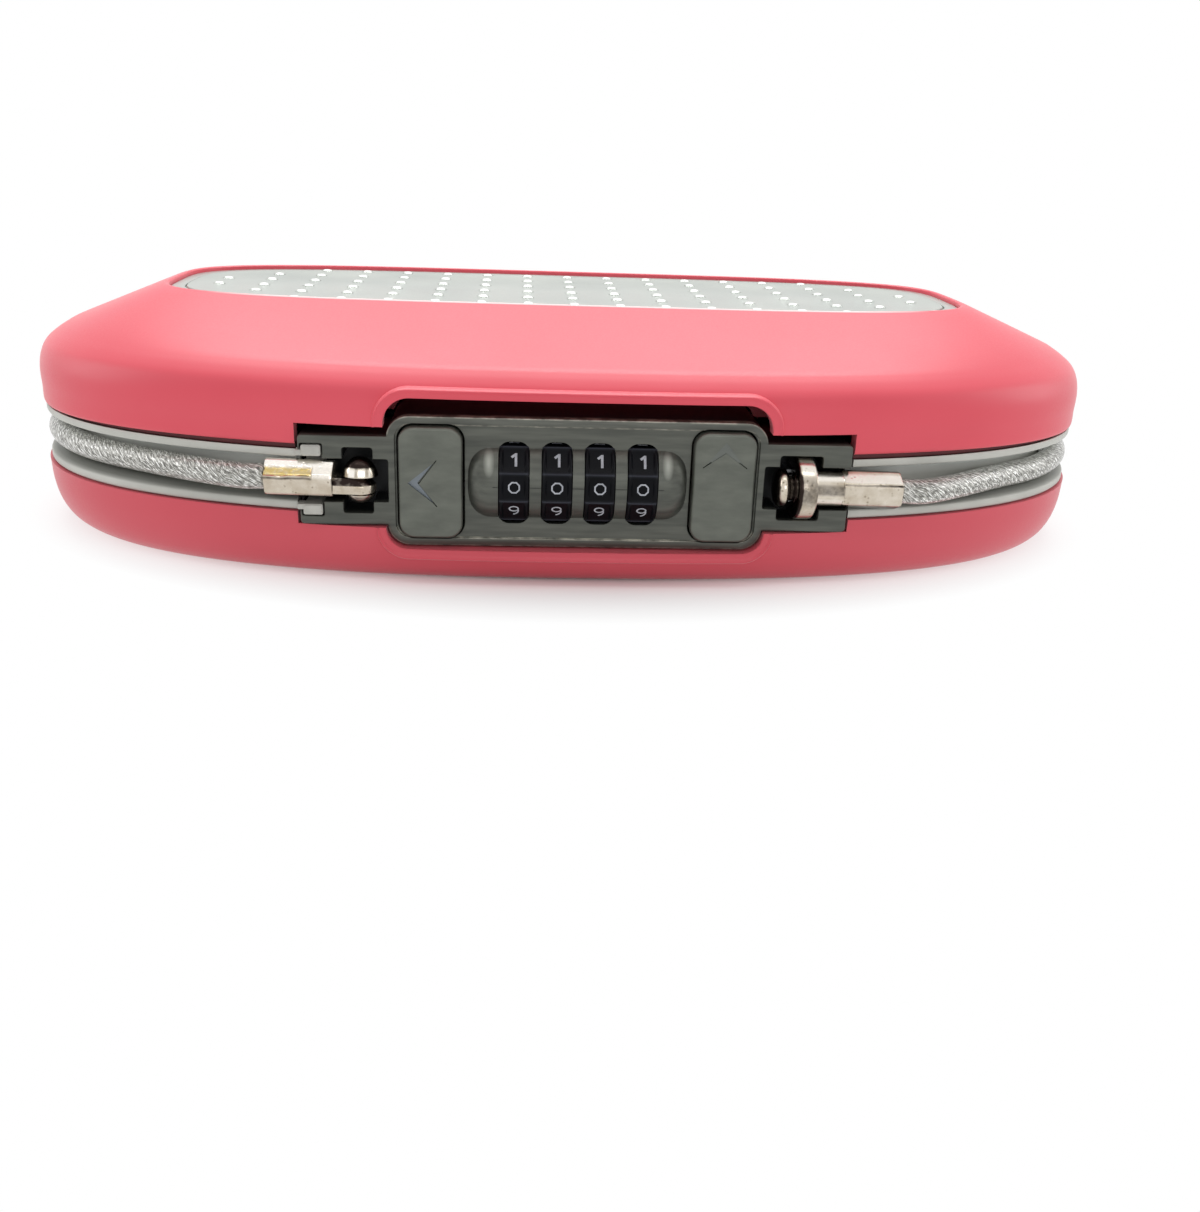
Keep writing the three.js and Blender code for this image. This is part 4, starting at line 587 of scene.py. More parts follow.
wallRows = smoothRows([[lid["bottom"] + up, inset] for up, inset in lid["foot"]] + [
    [lid["seam"] + (lid["edgeZ"] - lid["seam"]) * up, lid["edgeInset"] * out] for up, out in lid["wallShares"]], 34)
rows = [shoulderOval(*lid["insideTop"]), *[caseOval(inset, z) for inset, z in lid["insideWall"]]]
rows += [caseOval(inset, z) for z, inset in wallRows]
rows += [shoulderOval(share, lid["edgeZ"] + lid["edgeRise"] * share) for share in np.linspace(0.06, 1, 14)]
rows += [inlayOval(grow, z) for grow, z in lid["rim"]]
rows = np.array(rows)
# the lower edge dips by the square of the way from the lock to an end, fading out up the wall
dip, behindPlate, posts = lid["dip"], lid["behindPlate"], lid["posts"]
ends = np.clip((np.abs(rows[..., 0]) - dip["start"]) / dip["reach"], 0, 1) ** 2
rows[..., 2] -= dip["depth"] * ends * np.clip((lid["bottom"] + dip["fade"] - rows[..., 2]) / dip["fade"], 0, 1)
shapes = [("join", lipPad(lid["notch"], lid["lip"], lid["notch"]["wing"] - 1)), *frontCuts(lid["notch"], 1),
          *[("join", block(*corners)) for corners in lid["curtain"]],
          ("cut", stacked([roundRect(*behindPlate["outline"])] * 2, behindPlate["y"])),
          *[("join", turned(posts["profile"], "z", [x, posts["y"], 0], 32, True)) for x in posts["x"]]]
lidShell = combined("lidShell", skin(rows), shapes + knuckles(1, *hinge["lidArm"]))
finishPiece(lidShell, "shell", "lid", "lid_shell")
# A dark red strip of painted shade in the gap between the lid's lower edge and the band, riding with the lid, cut away
# at the lock and at the hinge
shadeStrip = {"section": [[1.35, 26.75], [1.2, 26.95], [1.2, 28.1], [3.4, 28.1], [3.4, 26.6], [3.2, 26.5], [2.2, 26.5]],
        "hingeGap": [[-35, 55, 0], [35, 80, 60]]}
lidShadeStrip = combined("lidShadeStrip", skin([caseOval(inset, z) for inset, z in shadeStrip["section"]], looped=True),
                   [("cut", block(*lockRoom)), ("cut", block(*shadeStrip["hingeGap"]))])
finishPiece(lidShadeStrip, "shadeStrip", "lid")
print("stage: lid shell")

# Inlay plate: a bright border, a lowered field and round domes, each r = radius * cos(a), z = height * sin(a)
dome = [[inlay["radius"], inlay["field"] - 0.3]] + [
    [inlay["radius"] * math.cos(a), inlay["field"] + inlay["height"] * math.sin(a)]
    for a in np.linspace(0, np.pi / 2 - 0.08, 7)]
domes = [turned(dome, "z", [(column - 8) * inlay["pitch"], (row - (count - 1) / 2) * inlay["pitch"], 0], 24)
         for column, count in enumerate(inlay["rows"]) for row in range(count)]
plate = skin([inlayOval(grow, z) for grow, z in inlay["edge"]])
finishPiece(meshObject("inlayPlate", *gather([plate, *domes]), 25), "inlay", "lid", "inlay_plate")
print("stage: inlay plate")

# Band with a sloping trough for the cable, a shadow line under the lid and a tongue that centres the base
band = [[0.75, 14.45], [0.55, 14.65], [0.5, 14.9], [0.5, 15.85], [0.6, 16.1], [0.85, 16.3], [2.5, 16.85], [3.0, 17.15],
        [6.2, 17.4], [6.2, 24.5], [3.0, 24.65], [2.5, 24.8], [0.85, 25.15], [0.6, 25.3], [0.5, 25.5], [0.5, 26.65],
        [0.58, 26.8], [0.75, 26.8], [2.6, 25.95], [5, 25.95], [5, 27.55], [8, 27.55], [8, 14.45], [4.5, 14.45],
        [4.5, 12.65], [3.1, 12.65], [3.1, 14.45]]
# its ears lie on the base's posts: a round end and an arm that reaches out to the band
bandEar = {"profile": [[4.2, 14.45], [4.5, 14.75], [4.5, 16.15], [4.2, 16.45]], "half": 4.5, "reach": 9,
           "low": 14.45, "high": 16.45, "bore": [1.7, 12, 18]}
shapes = [("cut", block(*lockRoom))]
for x, y in framePosts:
    outward = [math.copysign(1, x), 0] if abs(x) > 60 else [0, 1]
    aside = [bandEar["half"] * outward[1], bandEar["half"] * abs(outward[0])]
    far = [x + bandEar["reach"] * outward[0], y + bandEar["reach"] * outward[1]]
    shapes.append(("join", turned(bandEar["profile"], "z", [x, y, 0], 40)))
    shapes.append(("join", block([min(x, far[0]) - aside[0], min(y, far[1]) - aside[1], bandEar["low"]],
                                  [max(x, far[0]) + aside[0], max(y, far[1]) + aside[1], bandEar["high"]])))
    shapes.append(("cut", rod(*bandEar["bore"], "z", [x, y, 0], 24)))
rimFrame = combined("rimFrame", skin([caseOval(inset, z) for inset, z in band], looped=True),
                    shapes + knuckles(0, *hinge["bandArm"]))
finishPiece(rimFrame, "band", "case", "rim_frame")
print("stage: band")

# The cable's two fittings: the side, the centre, and from there the ends of the sleeve, the start of the cable and
# the share by which the fitting falls on its way out; the sleeve is so wide across its flats and held at its corners
fitting = {
    "flats": 7.2, "cornerRound": 3.95,
    "left": {"sign": -1, "centre": [-43.3, -64, 21], "sleeve": [4.9, 18.6], "reach": 18.7, "fall": 0.0},
    "right": {"sign": 1, "centre": [46.2, -64, 21], "sleeve": [7.2, 19.9], "reach": 20.2, "fall": 0.033},
}

# Cable: a round tube along the route of the groove, with u along it in mm and v once round it
cable = {"radius": 2.6, "sides": 20, "steps": 620, "halfLength": 118, "halfDepth": 64.5, "endAngle": 47, "tilt": 4,
         "straight": 5.2, "dropReach": 30, "dropBack": 20, "dropFade": 60,
         "drops": [{"sign": 1, "start": 46, "depth": 0.9}, {"sign": -1, "start": 62, "depth": 0.35}]}
tilt = math.radians(cable["tilt"])
ends = {side: [[fitting[side]["centre"][0] + fitting[side]["sign"] * reach * math.cos(tilt),
                fitting[side]["centre"][1] + reach * math.sin(tilt)]
               for reach in (fitting[side]["reach"], fitting[side]["reach"] + cable["straight"])]
        for side in ("left", "right")}
angles = -np.pi / 2 - np.radians(cable["endAngle"]) - np.linspace(0, 2 * np.pi - 2 * np.radians(cable["endAngle"]), 41)
cosine, sine = np.cos(angles), np.sin(angles)
route = np.column_stack([cable["halfLength"] * np.sign(cosine) * np.abs(cosine) ** (2 / case["exponent"]),
                         cable["halfDepth"] * np.sign(sine) * np.abs(sine) ** (2 / case["exponent"])])
route = smoothRows(np.concatenate([ends["left"], route, ends["right"][::-1]]), 4000)
along = np.concatenate([[0], np.cumsum(np.linalg.norm(np.diff(route, axis=0), axis=1))])
where = np.linspace(0, along[-1], cable["steps"])
line = np.column_stack([np.interp(where, along, route[:, 0]), np.interp(where, along, route[:, 1])])
heading = np.gradient(line, axis=0)
heading /= np.linalg.norm(heading, axis=1)[:, None]
outward = np.column_stack([-heading[:, 1], heading[:, 0]])
turns = np.linspace(0, 2 * np.pi, cable["sides"], endpoint=False)
# it hangs low in front: each side by its own drop, coming in by s * s * (3 - 2 s) along X and leaving towards the back
drop = np.zeros(len(line))
for side in cable["drops"]:
    s = np.clip((side["sign"] * line[:, 0] - side["start"]) / cable["dropReach"], 0, 1)
    drop += side["depth"] * s * s * (3 - 2 * s)
drop *= np.clip((cable["dropBack"] - line[:, 1]) / cable["dropFade"], 0, 1)
levels = lockPlace["middle"] - drop[:, None] + cable["radius"] * np.sin(turns)
tube = np.concatenate([line[:, None] + cable["radius"] * np.cos(turns)[None, :, None] * outward[:, None],
                       levels[..., None]], -1)
points, faces = skin(tube)
cableMesh = bpy.data.meshes.new("securityCable")
cableMesh.from_pydata((points * mm).tolist(), [], faces)
ropeMap = cableMesh.uv_layers.new(name="rope")
corners = np.zeros(len(cableMesh.loops), np.int32)
cableMesh.loops.foreach_get("vertex_index", corners)
around = (corners % cable["sides"]) / cable["sides"]
wrap = np.repeat(np.array([max(f) % cable["sides"] == cable["sides"] - 1 and min(i % cable["sides"] for i in f) == 0
                           for f in faces]), [len(f) for f in faces])
around = np.where(wrap & (around == 0), 1.0, around)
ropeMap.data.foreach_set("uv", np.column_stack([where[corners // cable["sides"]], around]).ravel())
cableMesh.shade_smooth()
securityCable = addObject("securityCable", cableMesh)
finishPiece(securityCable, "cable", "case", "security_cable")
print("stage: cable, length in mm", round(float(along[-1]), 1))

# Lock housing; the walls, screw bosses and ears are given for its right side
housing = {
    "edge": 0.35, "bezel": 1.7, "bezelCorner": 2.8, "drop": 0.5, "flare": 0.12,
    "boss": {"radius": 8.83, "half": 22, "round": 4.7, "end": 4.9},
    "hollow": [72.4, 23.5, 3], "hollowY": [2.5, 25], "wingHollow": [[-53.5, 10, -7.6], [53.5, 25, 7.6]],
    # openings in the face, and taller places in their pockets for the ball, the plug, the clip's jaws and its nubs:
    # width, height, corner radius, place along X, depth of the face there, own depth and steps of a corner
    "openings": [*[[6.24, 16.9, 2.2, (index - 1.5) * lockPlace["wheelPitch"], -3.3, 3, 8] for index in range(4)],
                 [13.3, 23.4, 3.35, -lockPlace["buttonX"], 0.5, 4, 14], [21.6, 8.8, 0.4, -48.5, 0, 8, 3],
                 [13.3, 23.4, 3.35, lockPlace["buttonX"], 0.5, 4, 14], [21.6, 8.8, 0.4, 48.5, 0, 8, 3],
                 [6, 13.4, 0.5, -43.7, 0, 8, 3], [8.7, 13.4, 0.5, 45.05, 0, 8, 3],
                 [4.4, 14.8, 0.3, -52.7, 0, 8, 3], [3.0, 12.6, 0.3, -56.1, 0, 3.2, 3]],
    "wheelRoom": [4.8, -12.81, 18], "axle": [1.8, -20.5, 20.5],
    "wall": [[17.85, 2.2, -12.05], [19.45, 15.1, 12.05]],
    "screwBoss": {"x": 51, "z": 4.6, "profile": [[2.7, 9.7], [2.7, 20.3], [2.4, 20.59], [1.5, 20.59], [1.5, 11]]},
    "ear": {"centre": [59.8, 16.59, 0], "arm": [[55.0, 12.4, -6.8], [59.8, 20.59, -4.8]],
            "profile": [[3.7, -6.8], [4.0, -6.5], [4.0, -5.1], [3.7, -4.8]], "bore": [1.7, -9, -3]},
}


# The plate's outline drawn in by an inset: a round-cornered middle with a wing on each side.
def crossOutline(inset):
    width, height = lockPlace["halfWidth"] - inset, lockPlace["halfHeight"] - inset
    wing, wingHeight = lockPlace["wingHalf"] - inset, lockPlace["wingHalfHeight"] - inset
    radius, small = lockPlace["corner"] - inset, max(lockPlace["wingCorner"] - inset, 0.3)
    turns = np.linspace(0, np.pi / 2, 14)
    quarter = np.column_stack([np.cos(turns), np.sin(turns)])
    fine = quarter[::3]
    right = np.concatenate([[wing - small, wingHeight - small] + small * fine, [[width, wingHeight]],
                            [width - radius, height - radius] + radius * quarter])
    left = right[::-1] * [-1, 1]
    top = np.concatenate([right, left])
    return np.concatenate([top, top[::-1] * [1, -1]])


# A rounded cutter that opens out by a flare where it leaves the face.
def flared(width, height, radius, centreX, faceDepth, depth, corner):
    flare = housing["flare"]
    wide = roundRect(width + 2 * flare, height + 2 * flare, radius + flare, centreX, 0, corner)
    straight = roundRect(width, height, radius, centreX, 0, corner)
    return stacked([wide, wide, straight, straight], [faceDepth - 3, faceDepth, faceDepth + flare, depth])


def inLock(shape):
    points, faces = shape
    return points + [0, lockPlace["faceY"], lockPlace["middle"]], faces


edge, boss = housing["edge"], housing["boss"]
start = stacked([crossOutline(edge), crossOutline(edge * 0.3), crossOutline(0), crossOutline(0)],
                [0, edge * 0.3, edge, lockPlace["depth"]])
bezel = [2 * (lockPlace[k] - housing["bezel"]) for k in ("halfWidth", "halfHeight")]
turns = np.linspace(0, np.pi / 2, 12)
flank = np.column_stack([boss["end"] + (boss["radius"] - boss["end"]) * np.cos(turns),
                         boss["half"] - boss["round"] * (1 - np.sin(turns))])
profile = np.concatenate([flank[::-1] * [1, -1], flank])[np.argsort(np.concatenate([-flank[::-1, 1], flank[:, 1]]))]
axle = [0, lockPlace["axleDepth"], 0]
shapes = [("cut", flared(*bezel, housing["bezelCorner"], 0, 0, housing["drop"], 14)),
          ("join", turned(profile, "x", axle, 128)),
          ("cut", stacked([roundRect(*housing["hollow"])] * 2, housing["hollowY"])),
          ("cut", block(*housing["wingHollow"])), *[("cut", flared(*opening)) for opening in housing["openings"]],
          ("cut", rod(*housing["wheelRoom"], "x", axle, 48))]
for side in (-1, 1):
    mirror, ear, boss = np.array([side, 1, 1]), housing["ear"], housing["screwBoss"]
    shapes.append(("join", block(*(mirror * housing["wall"]))))
    shapes += [("join", turned(boss["profile"], "y", [side * boss["x"], 0, z], 32)) for z in (-boss["z"], boss["z"])]
    shapes.append(("join", block(*(mirror * ear["arm"]))))
    shapes.append(("join", turned(ear["profile"], "z", mirror * ear["centre"], 40)))
    shapes.append(("cut", rod(*ear["bore"], "z", mirror * ear["centre"], 24)))
shapes.append(("cut", rod(*housing["axle"], "x", axle, 24)))
lockHousing = combined("lockHousing", inLock(start), [(action, inLock(shape)) for action, shape in shapes], 30)
finishPiece(lockHousing, "lock", "case", "lock_housing")
print("stage: lock housing")

# Number wheels: ten flat facets between two round rims, with the numbers printed on the facets. A section across one
# gives each ring's place, how far it lies between the facets and the rim, and how far the rim's edge draws in.
wheel = {
    "radius": 9.39, "rim": 9.2, "apothem": 8.72, "cornerRise": 0.21, "bore": 1.8, "steps": 200,
    "across": [-3, -3, -2.9, -2.7, -2.45, -2.2, -2.05, 0, 2.05, 2.2, 2.45, 2.7, 2.9, 3, 3],
    "rimShare": [0, 0, 0, 1, 1, 0.5, 0, 0, 0, 0.5, 1, 1, 0, 0, 0],
    "cutIn": [None, 0.5, 0.15, 0, 0, 0, 0, 0, 0, 0, 0, 0, 0.15, 0.5, None],
}
angles = np.linspace(0, 2 * np.pi, wheel["steps"], endpoint=False)
fold = (angles + np.pi / 10) % (np.pi / 5) - np.pi / 10
# distance of a facet: flat in the middle, rising to the corner by the fourth power of the way there
rise = wheel["cornerRise"] * np.abs(np.tan(fold) / np.tan(np.pi / 10)) ** 4
facet = np.minimum((wheel["apothem"] + rise) / np.cos(fold), wheel["radius"])
columns = []
for x, share, drop in zip(wheel["across"], wheel["rimShare"], wheel["cutIn"]):
    ring = np.full(wheel["steps"], wheel["bore"]) if drop is None else (
        wheel["rim"] - drop if drop else facet + (wheel["rim"] - facet) * share) * np.ones(wheel["steps"])
    columns.append(np.column_stack([np.full(wheel["steps"], float(x)), -ring * np.cos(angles), ring * np.sin(angles)]))
wheelRows = np.array(columns).transpose(1, 0, 2)


# An arc in mm: centre, radii, and where it starts and ends in degrees.
def arc(centreX, centreZ, radiusX, radiusZ, start, end, count=14):
    turns = np.radians(np.linspace(start, end, count))
    return np.column_stack([centreX + radiusX * np.cos(turns), centreZ + radiusZ * np.sin(turns)])


# Strokes of the numbers in mm, each a line of points; the nought is a ring and the one is heavy
numbers = {
    0: [arc(0, 0, 1.12, 1.12, 22.5, 382.5, 9)],
    1: [np.array([[-0.75, 0.62], [0.05, 1.25], [0.12, 1.25], [0.12, -1.3]])],
    2: [np.concatenate([arc(0, 0.5, 0.85, 0.72, 170, -40, 12), [[-0.85, -1.2], [0.95, -1.2]]])],
    3: [np.concatenate([arc(0, 0.58, 0.8, 0.6, 150, -80, 12), arc(0, -0.6, 0.88, 0.62, 80, -150, 12)])],
    4: [np.array([[0.4, -1.25], [0.4, 1.25], [-0.95, -0.5], [0.95, -0.5]])],
    5: [np.concatenate([[[0.8, 1.2], [-0.6, 1.2], [-0.7, 0.15]], arc(0, -0.42, 0.9, 0.78, 125, -150, 12)])],
    6: [np.concatenate([arc(0.35, 0.1, 1.25, 1.15, 100, 180, 6), arc(0, -0.5, 0.9, 0.72, 180, 540, 16)])],
    7: [np.array([[-0.85, 1.2], [0.9, 1.2], [-0.2, -1.25]])],
    8: [arc(0, 0.6, 0.7, 0.6, 0, 360, 15), arc(0, -0.6, 0.9, 0.62, 0, 360, 15)],
    9: [np.concatenate([arc(0, 0.5, 0.9, 0.72, 0, 360, 16), arc(-0.35, -0.1, 1.25, 1.15, 0, -80, 6)])],
}


# A flat ribbon along a line of points: each point moved to both sides, along the mitre of its corners.
def ribbon(line, width):
    closed = np.allclose(line[0], line[-1])
    line = line[:-1] if closed else line
    ahead = np.roll(line, -1, 0) - line
    behind = np.roll(ahead, 1, 0)
    if not closed:
        ahead[-1], behind[0] = behind[-1], ahead[0]
    ahead /= np.linalg.norm(ahead, axis=1)[:, None] + 1e-9
    behind /= np.linalg.norm(behind, axis=1)[:, None] + 1e-9
    mitre = ahead + behind
    mitre /= np.linalg.norm(mitre, axis=1)[:, None] + 1e-9
    aside = np.column_stack([-mitre[:, 1], mitre[:, 0]])
    reach = width / 2 / np.clip(np.sum(mitre * ahead, 1), 0.5, 1)
    points = np.stack([line + aside * reach[:, None], line - aside * reach[:, None]], 1)
    index = np.arange(len(line) * 2).reshape(-1, 2)
    following = np.roll(index, -1, 0)
    quads = np.column_stack([index, following[:, ::-1]])
    return points.reshape(-1, 2), (quads if closed else quads[:-1]).tolist()


digits = {"width": 0.29, "heavyWidth": 0.5, "shift": 0.05, "heavyShift": 0.25, "lift": 0.03, "thickness": 0.04}
for index in range(4):
    centre = np.array([(index - 1.5) * lockPlace["wheelPitch"], lockPlace["faceY"] + lockPlace["axleDepth"],
                       lockPlace["middle"]])
    points, faces = skin(wheelRows, looped=True)
    piece = meshObject(f"dialWheel{index + 1}", points + centre, faces, 28)
    offset = pointsOf(piece) - centre
    around = (np.degrees(np.arctan2(offset[:, 2], -offset[:, 1])) + 18) % 36 - 18
    outside = np.hypot(offset[:, 1], offset[:, 2]) > 8
    # paler ridges along the facet edges: a painted highlight
    markPoints(piece, "ridge", np.clip((np.abs(around) - 16) / 1.5, 0, 1) * outside)
    finishPiece(piece, "dial", f"dial_{index + 1}", f"dial_wheel_{index + 1}")
    ribbons = []
    for number, strokes in numbers.items():
        turn = math.radians(36 * number)
        out, rise = np.array([0, -math.cos(turn), math.sin(turn)]), np.array([0, math.sin(turn), math.cos(turn)])
        width, shift = (digits[key] for key in (("heavyWidth", "heavyShift") if number == 1 else ("width", "shift")))
        for stroke in strokes:
            flat, quads = ribbon(np.asarray(stroke, float), width)
            ribbons.append((centre + np.outer(flat[:, 0] + shift, [1, 0, 0]) + np.outer(flat[:, 1], rise)
                            + out * (wheel["apothem"] + digits["lift"]), quads))
    points, faces = gather(ribbons)
    mesh = bpy.data.meshes.new(f"dialNumbers{index + 1}")
    mesh.from_pydata((points * mm).tolist(), [], faces)
    label = addObject(f"dialNumbers{index + 1}", mesh)
    thick = label.modifiers.new("thick", "SOLIDIFY")
    thick.thickness = digits["thickness"] * mm
    finishPiece(label, "ink", f"dial_{index + 1}")
print("stage: number wheels")

# Buttons: a pad with rounded edges and a swallow-tailed arrow cut into its face, with thin scores along its tips
button = {
    "size": [12.6, 22.7, 3.0], "front": -1.3, "back": 4.3, "round": 0.7, "scoreDepth": 0.5,
    "stem": [[-2, 4, -2], [2, 7, 2]],
    "left": {"side": -1, "cut": 0.5, "tone": 1.0, "arrow": [[-4.5, 0.0], [1.3, 4.75], [-2.3, -0.15], [1.35, -4.7]],
             "scores": [[[1.3, 4.75], [-2.3, -0.15], [-2.6, 0.0], [1.1, 4.8]],
                        [[1.35, -4.7], [-2.3, -0.15], [-2.6, 0.0], [1.1, -4.75]]]},
    "right": {"side": 1, "cut": 0.16, "tone": 0.15, "arrow": [[0, 9.5], [4.4, 4.2], [0, 7.3], [-4.4, 4.2]],
              "scores": [[[4.4, 4.2], [2.8, 5.33], [2.9, 5.55], [4.5, 4.35]],
                         [[-4.4, 4.2], [-2.8, 5.33], [-2.9, 5.55], [-4.5, 4.35]]]},
}
turns = np.linspace(0, np.pi / 2, 7)
# the edge is a quarter circle: inset and depth follow its sine and cosine
for name in ("left", "right"):
    own = button[name]
    x, floorDepth = own["side"] * lockPlace["buttonX"], button["front"] + own["cut"]
    width, height, radius = button["size"]
    outlines = [roundRect(width - 2 * inset, height - 2 * inset, radius - inset, x, 0, 12)
                for inset in button["round"] * (1 - np.sin(turns))]
    levels = [*(button["front"] + button["round"] * (1 - np.cos(turns)))]
    outlines, levels = outlines + [outlines[-1]], levels + [button["back"]]
    mark = np.array(own["arrow"]) + [x, 0]
    shapes = [("cut", stacked([mark, mark], [-3, floorDepth])),
              ("join", block(*(button["stem"] + np.array([x, 0, 0]))))]
    for score in own["scores"]:
        thin = np.array(score) + [x, 0]
        shapes.append(("cut", stacked([thin, thin], [-3, floorDepth + button["scoreDepth"]])))
    piece = combined(f"{name}Button", inLock(stacked(outlines, levels)),
                     [(action, inLock(shape)) for action, shape in shapes], 30)
    points = pointsOf(piece)
    onFloor = (np.abs(points[:, 1] - lockPlace["faceY"] - floorDepth) < 0.01) & (np.abs(points[:, 0] - x) < 5)
    markPoints(piece, "cut", onFloor * own["tone"])
    finishPiece(piece, "button", f"{'cable' if name == 'left' else 'lid'}_release", f"{name}_button")
print("stage: buttons")


# Fittings of the cable, drawn along their own axis: s along, w in front and z above in mm from the fitting's centre.
def alongFitting(side, points):
    own = fitting[side]
    s, w, z = np.asarray(points, float).T
    return np.column_stack([own["sign"] * (s * math.cos(tilt) + w * math.sin(tilt)),
                            s * math.sin(tilt) - w * math.cos(tilt),
                            z - own["fall"] * np.maximum(s, 0)]) + own["centre"]


# The same the other way: the s, w and z of an object's points.
def placesAlong(side, thing):
    own = fitting[side]
    x, y, z = (pointsOf(thing) - own["centre"]).T
    s = own["sign"] * x * math.cos(tilt) + y * math.sin(tilt)
    return s, own["sign"] * x * math.sin(tilt) - y * math.cos(tilt), z + own["fall"] * np.maximum(s, 0)


# A soft step from 0 at one value to 1 at another.
def ramp(values, start, end):
    return np.clip((values - start) / (end - start), 0, 1)


# Marks each point of a nickel piece with painted light, by a rule of its place along, its degrees round, its distance
# from the axis and its height: above 0 how dark it is painted, as painted shade and dark reflections; below 0 how
# bright it is painted, as painted highlights.
def setPaintedLight(thing, side, rule):
    s, w, z = placesAlong(side, thing)
    markPoints(thing, "paintedLight", np.clip(rule(s, np.degrees(np.arctan2(z, w)), np.hypot(w, z), z), -1, 1))


# The wavy lower rim of the pressed patch in degrees: 17 + 1.3 sin(0.7 s) + 0.5 sin(1.9 s + 1).
def patchRim(s):
    return 17 + 1.3 * np.sin(0.7 * s) + 0.5 * np.sin(1.9 * s + 1)


# How far a point of the left sleeve lies in its pressed and gilded patch: ramps along it and round it.
def crimped(s, degrees):
    low, high = patchRim(s), 52 + 2 * np.sin(1.9 * s)
    return ramp(s, 9.0, 9.3) * ramp(s, 19.2, 18.9) * ramp(degrees, low, low + 3) * ramp(degrees, high, high - 5)


# A six-sided sleeve: the distance to a flat divided by the cosine of the angle from its middle, held at the corners.
def sleeve(start, end, twist, dent=0.0):
    turns = np.linspace(0, 2 * np.pi, 180, endpoint=False)
    fold = (turns - np.radians(twist) + np.pi / 6) % (np.pi / 3) - np.pi / 6
    ring = np.minimum(fitting["flats"] / 2 / np.cos(fold), fitting["cornerRound"])
    places = np.concatenate([[start, start + 0.12], np.linspace(start + 0.4, end - 0.4, 84), [end - 0.12, end]])
    shrink = np.concatenate([[0.35, 0.1], np.zeros(84), [0.1, 0.35]])
    pressed = crimped(places[:, None], np.degrees(turns)[None])
    radii = ring[None] - shrink[:, None] - dent * pressed
    return np.stack([np.broadcast_to(places[:, None], radii.shape), radii * np.cos(turns), radii * np.sin(turns)], -1)


# the tongue that lies in the ball's slot: a round-ended outline, drawn in towards its middle at each height
tongue = {"half": 3.1, "length": 7, "middle": [3.5, 0],
          "layers": [[-2.4, 0.3], [-2.3, 0.08], [-2.1, 0], [-0.8, 0], [-0.66, 0.08], [-0.56, 0.2], [0.7, 1.3],
                     [0.8, 1.6]]}
turns = np.linspace(np.pi / 2, 3 * np.pi / 2, 24)
half, far = tongue["half"], tongue["length"]
outline = np.concatenate([np.column_stack([half * np.cos(turns), half * np.sin(turns)]), [[far, -half], [far, half]]])
inward = outline - tongue["middle"]
inward /= np.linalg.norm(inward, axis=1)[:, None]
tongueRows = [np.column_stack([outline - inward * inset, np.full(len(outline), z)]) for z, inset in tongue["layers"]]
points, faces = gather([skin(sleeve(*fitting["left"]["sleeve"], -12, 0.35)), skin(tongueRows)])
leftFerrule = meshObject("leftFerrule", alongFitting("left", points), faces, 28)
s, w, z = placesAlong("left", leftFerrule)
markPoints(leftFerrule, "gold", crimped(s, np.degrees(np.arctan2(z, w))))


# Painted light on the left sleeve: a painted dark reflection on the tongue's upper slope, a painted shadow line under
# the rim of the gilded patch, painted shade at the sleeve's end and along its lower edge, and painted highlights along
# its top and on its upper face short of the patch.
def ferruleShade(s, degrees, radius, z):
    rim, onSleeve = patchRim(s), s > 4.85
    tongueTop = ((s < 4.85) | (radius < 3.22)) * ramp(z, -0.75, -0.5) * 0.8
    seam = ramp(s, 8.6, 9.2) * ramp(degrees, rim - 12, rim - 7) * ramp(degrees, rim - 1, rim - 5) * 0.5
    paintedHighlight = onSleeve * ramp(degrees, 46, 54) * 0.9
    paintedHighlight = paintedHighlight + onSleeve * (s < 8.8) * ramp(degrees, 8, 20) * ramp(degrees, 54, 46) * 0.7
    return tongueTop + seam - paintedHighlight + onSleeve * (ramp(s, 5.2, 4.95) * 0.6 + ramp(degrees, -44, -58) * 0.6)


setPaintedLight(leftFerrule, "left", ferruleShade)
finishPiece(leftFerrule, "nickel", "case", "left_ferrule")

# Swivelling ball: a tall ellipsoid, flattened in front, with a slot for the tongue and a post behind
swivel = {"radius": 3.6, "halfHeight": 4.75, "flatten": [1, 0.88, 1], "slot": [[-52, -72, 18.3], [-36, -60.7, 22.0]],
          "post": [[2.0, -62.0], [2.0, -57.6], [1.7, -57.3]]}
centre = np.array(fitting["left"]["centre"])
turns = np.linspace(-np.pi / 2 + 0.06, np.pi / 2 - 0.06, 48)
points, faces = turned(np.column_stack([swivel["radius"] * np.cos(turns), swivel["halfHeight"] * np.sin(turns)]), "z",
                       steps=96)
swivelBall = combined("swivelBall", (points * swivel["flatten"] + centre, faces),
                      [("join", turned(swivel["post"], "y", centre * [1, 0, 1], 32)),
                       ("cut", block(*swivel["slot"]))], 28)


# Painted light on the ball: painted dark reflections and shade over the crown, low down and at the sides, with painted
# highlight streaks, darker between bright ones, on the front of the dome.
def ballShade(s, degrees, radius, z):
    streaks = ramp(np.sin(3.1 * s + 0.8), 0.2, 0.8)
    paintedHighlight = ramp(z, 1.0, 1.3) * ramp(z, 3.0, 2.3) * ramp(np.abs(s), 2.6, 2.1)
    crown = ramp(z, 2.5, 3.1) * 0.95 + ramp(z, -2.6, -3.2) * 0.45 + ramp(np.abs(s), 2.5, 3.2) * 0.75
    return crown + paintedHighlight * (1.1 * streaks - 0.9)


setPaintedLight(swivelBall, "left", ballShade)
finishPiece(swivelBall, "nickel", "case", "swivel_ball")

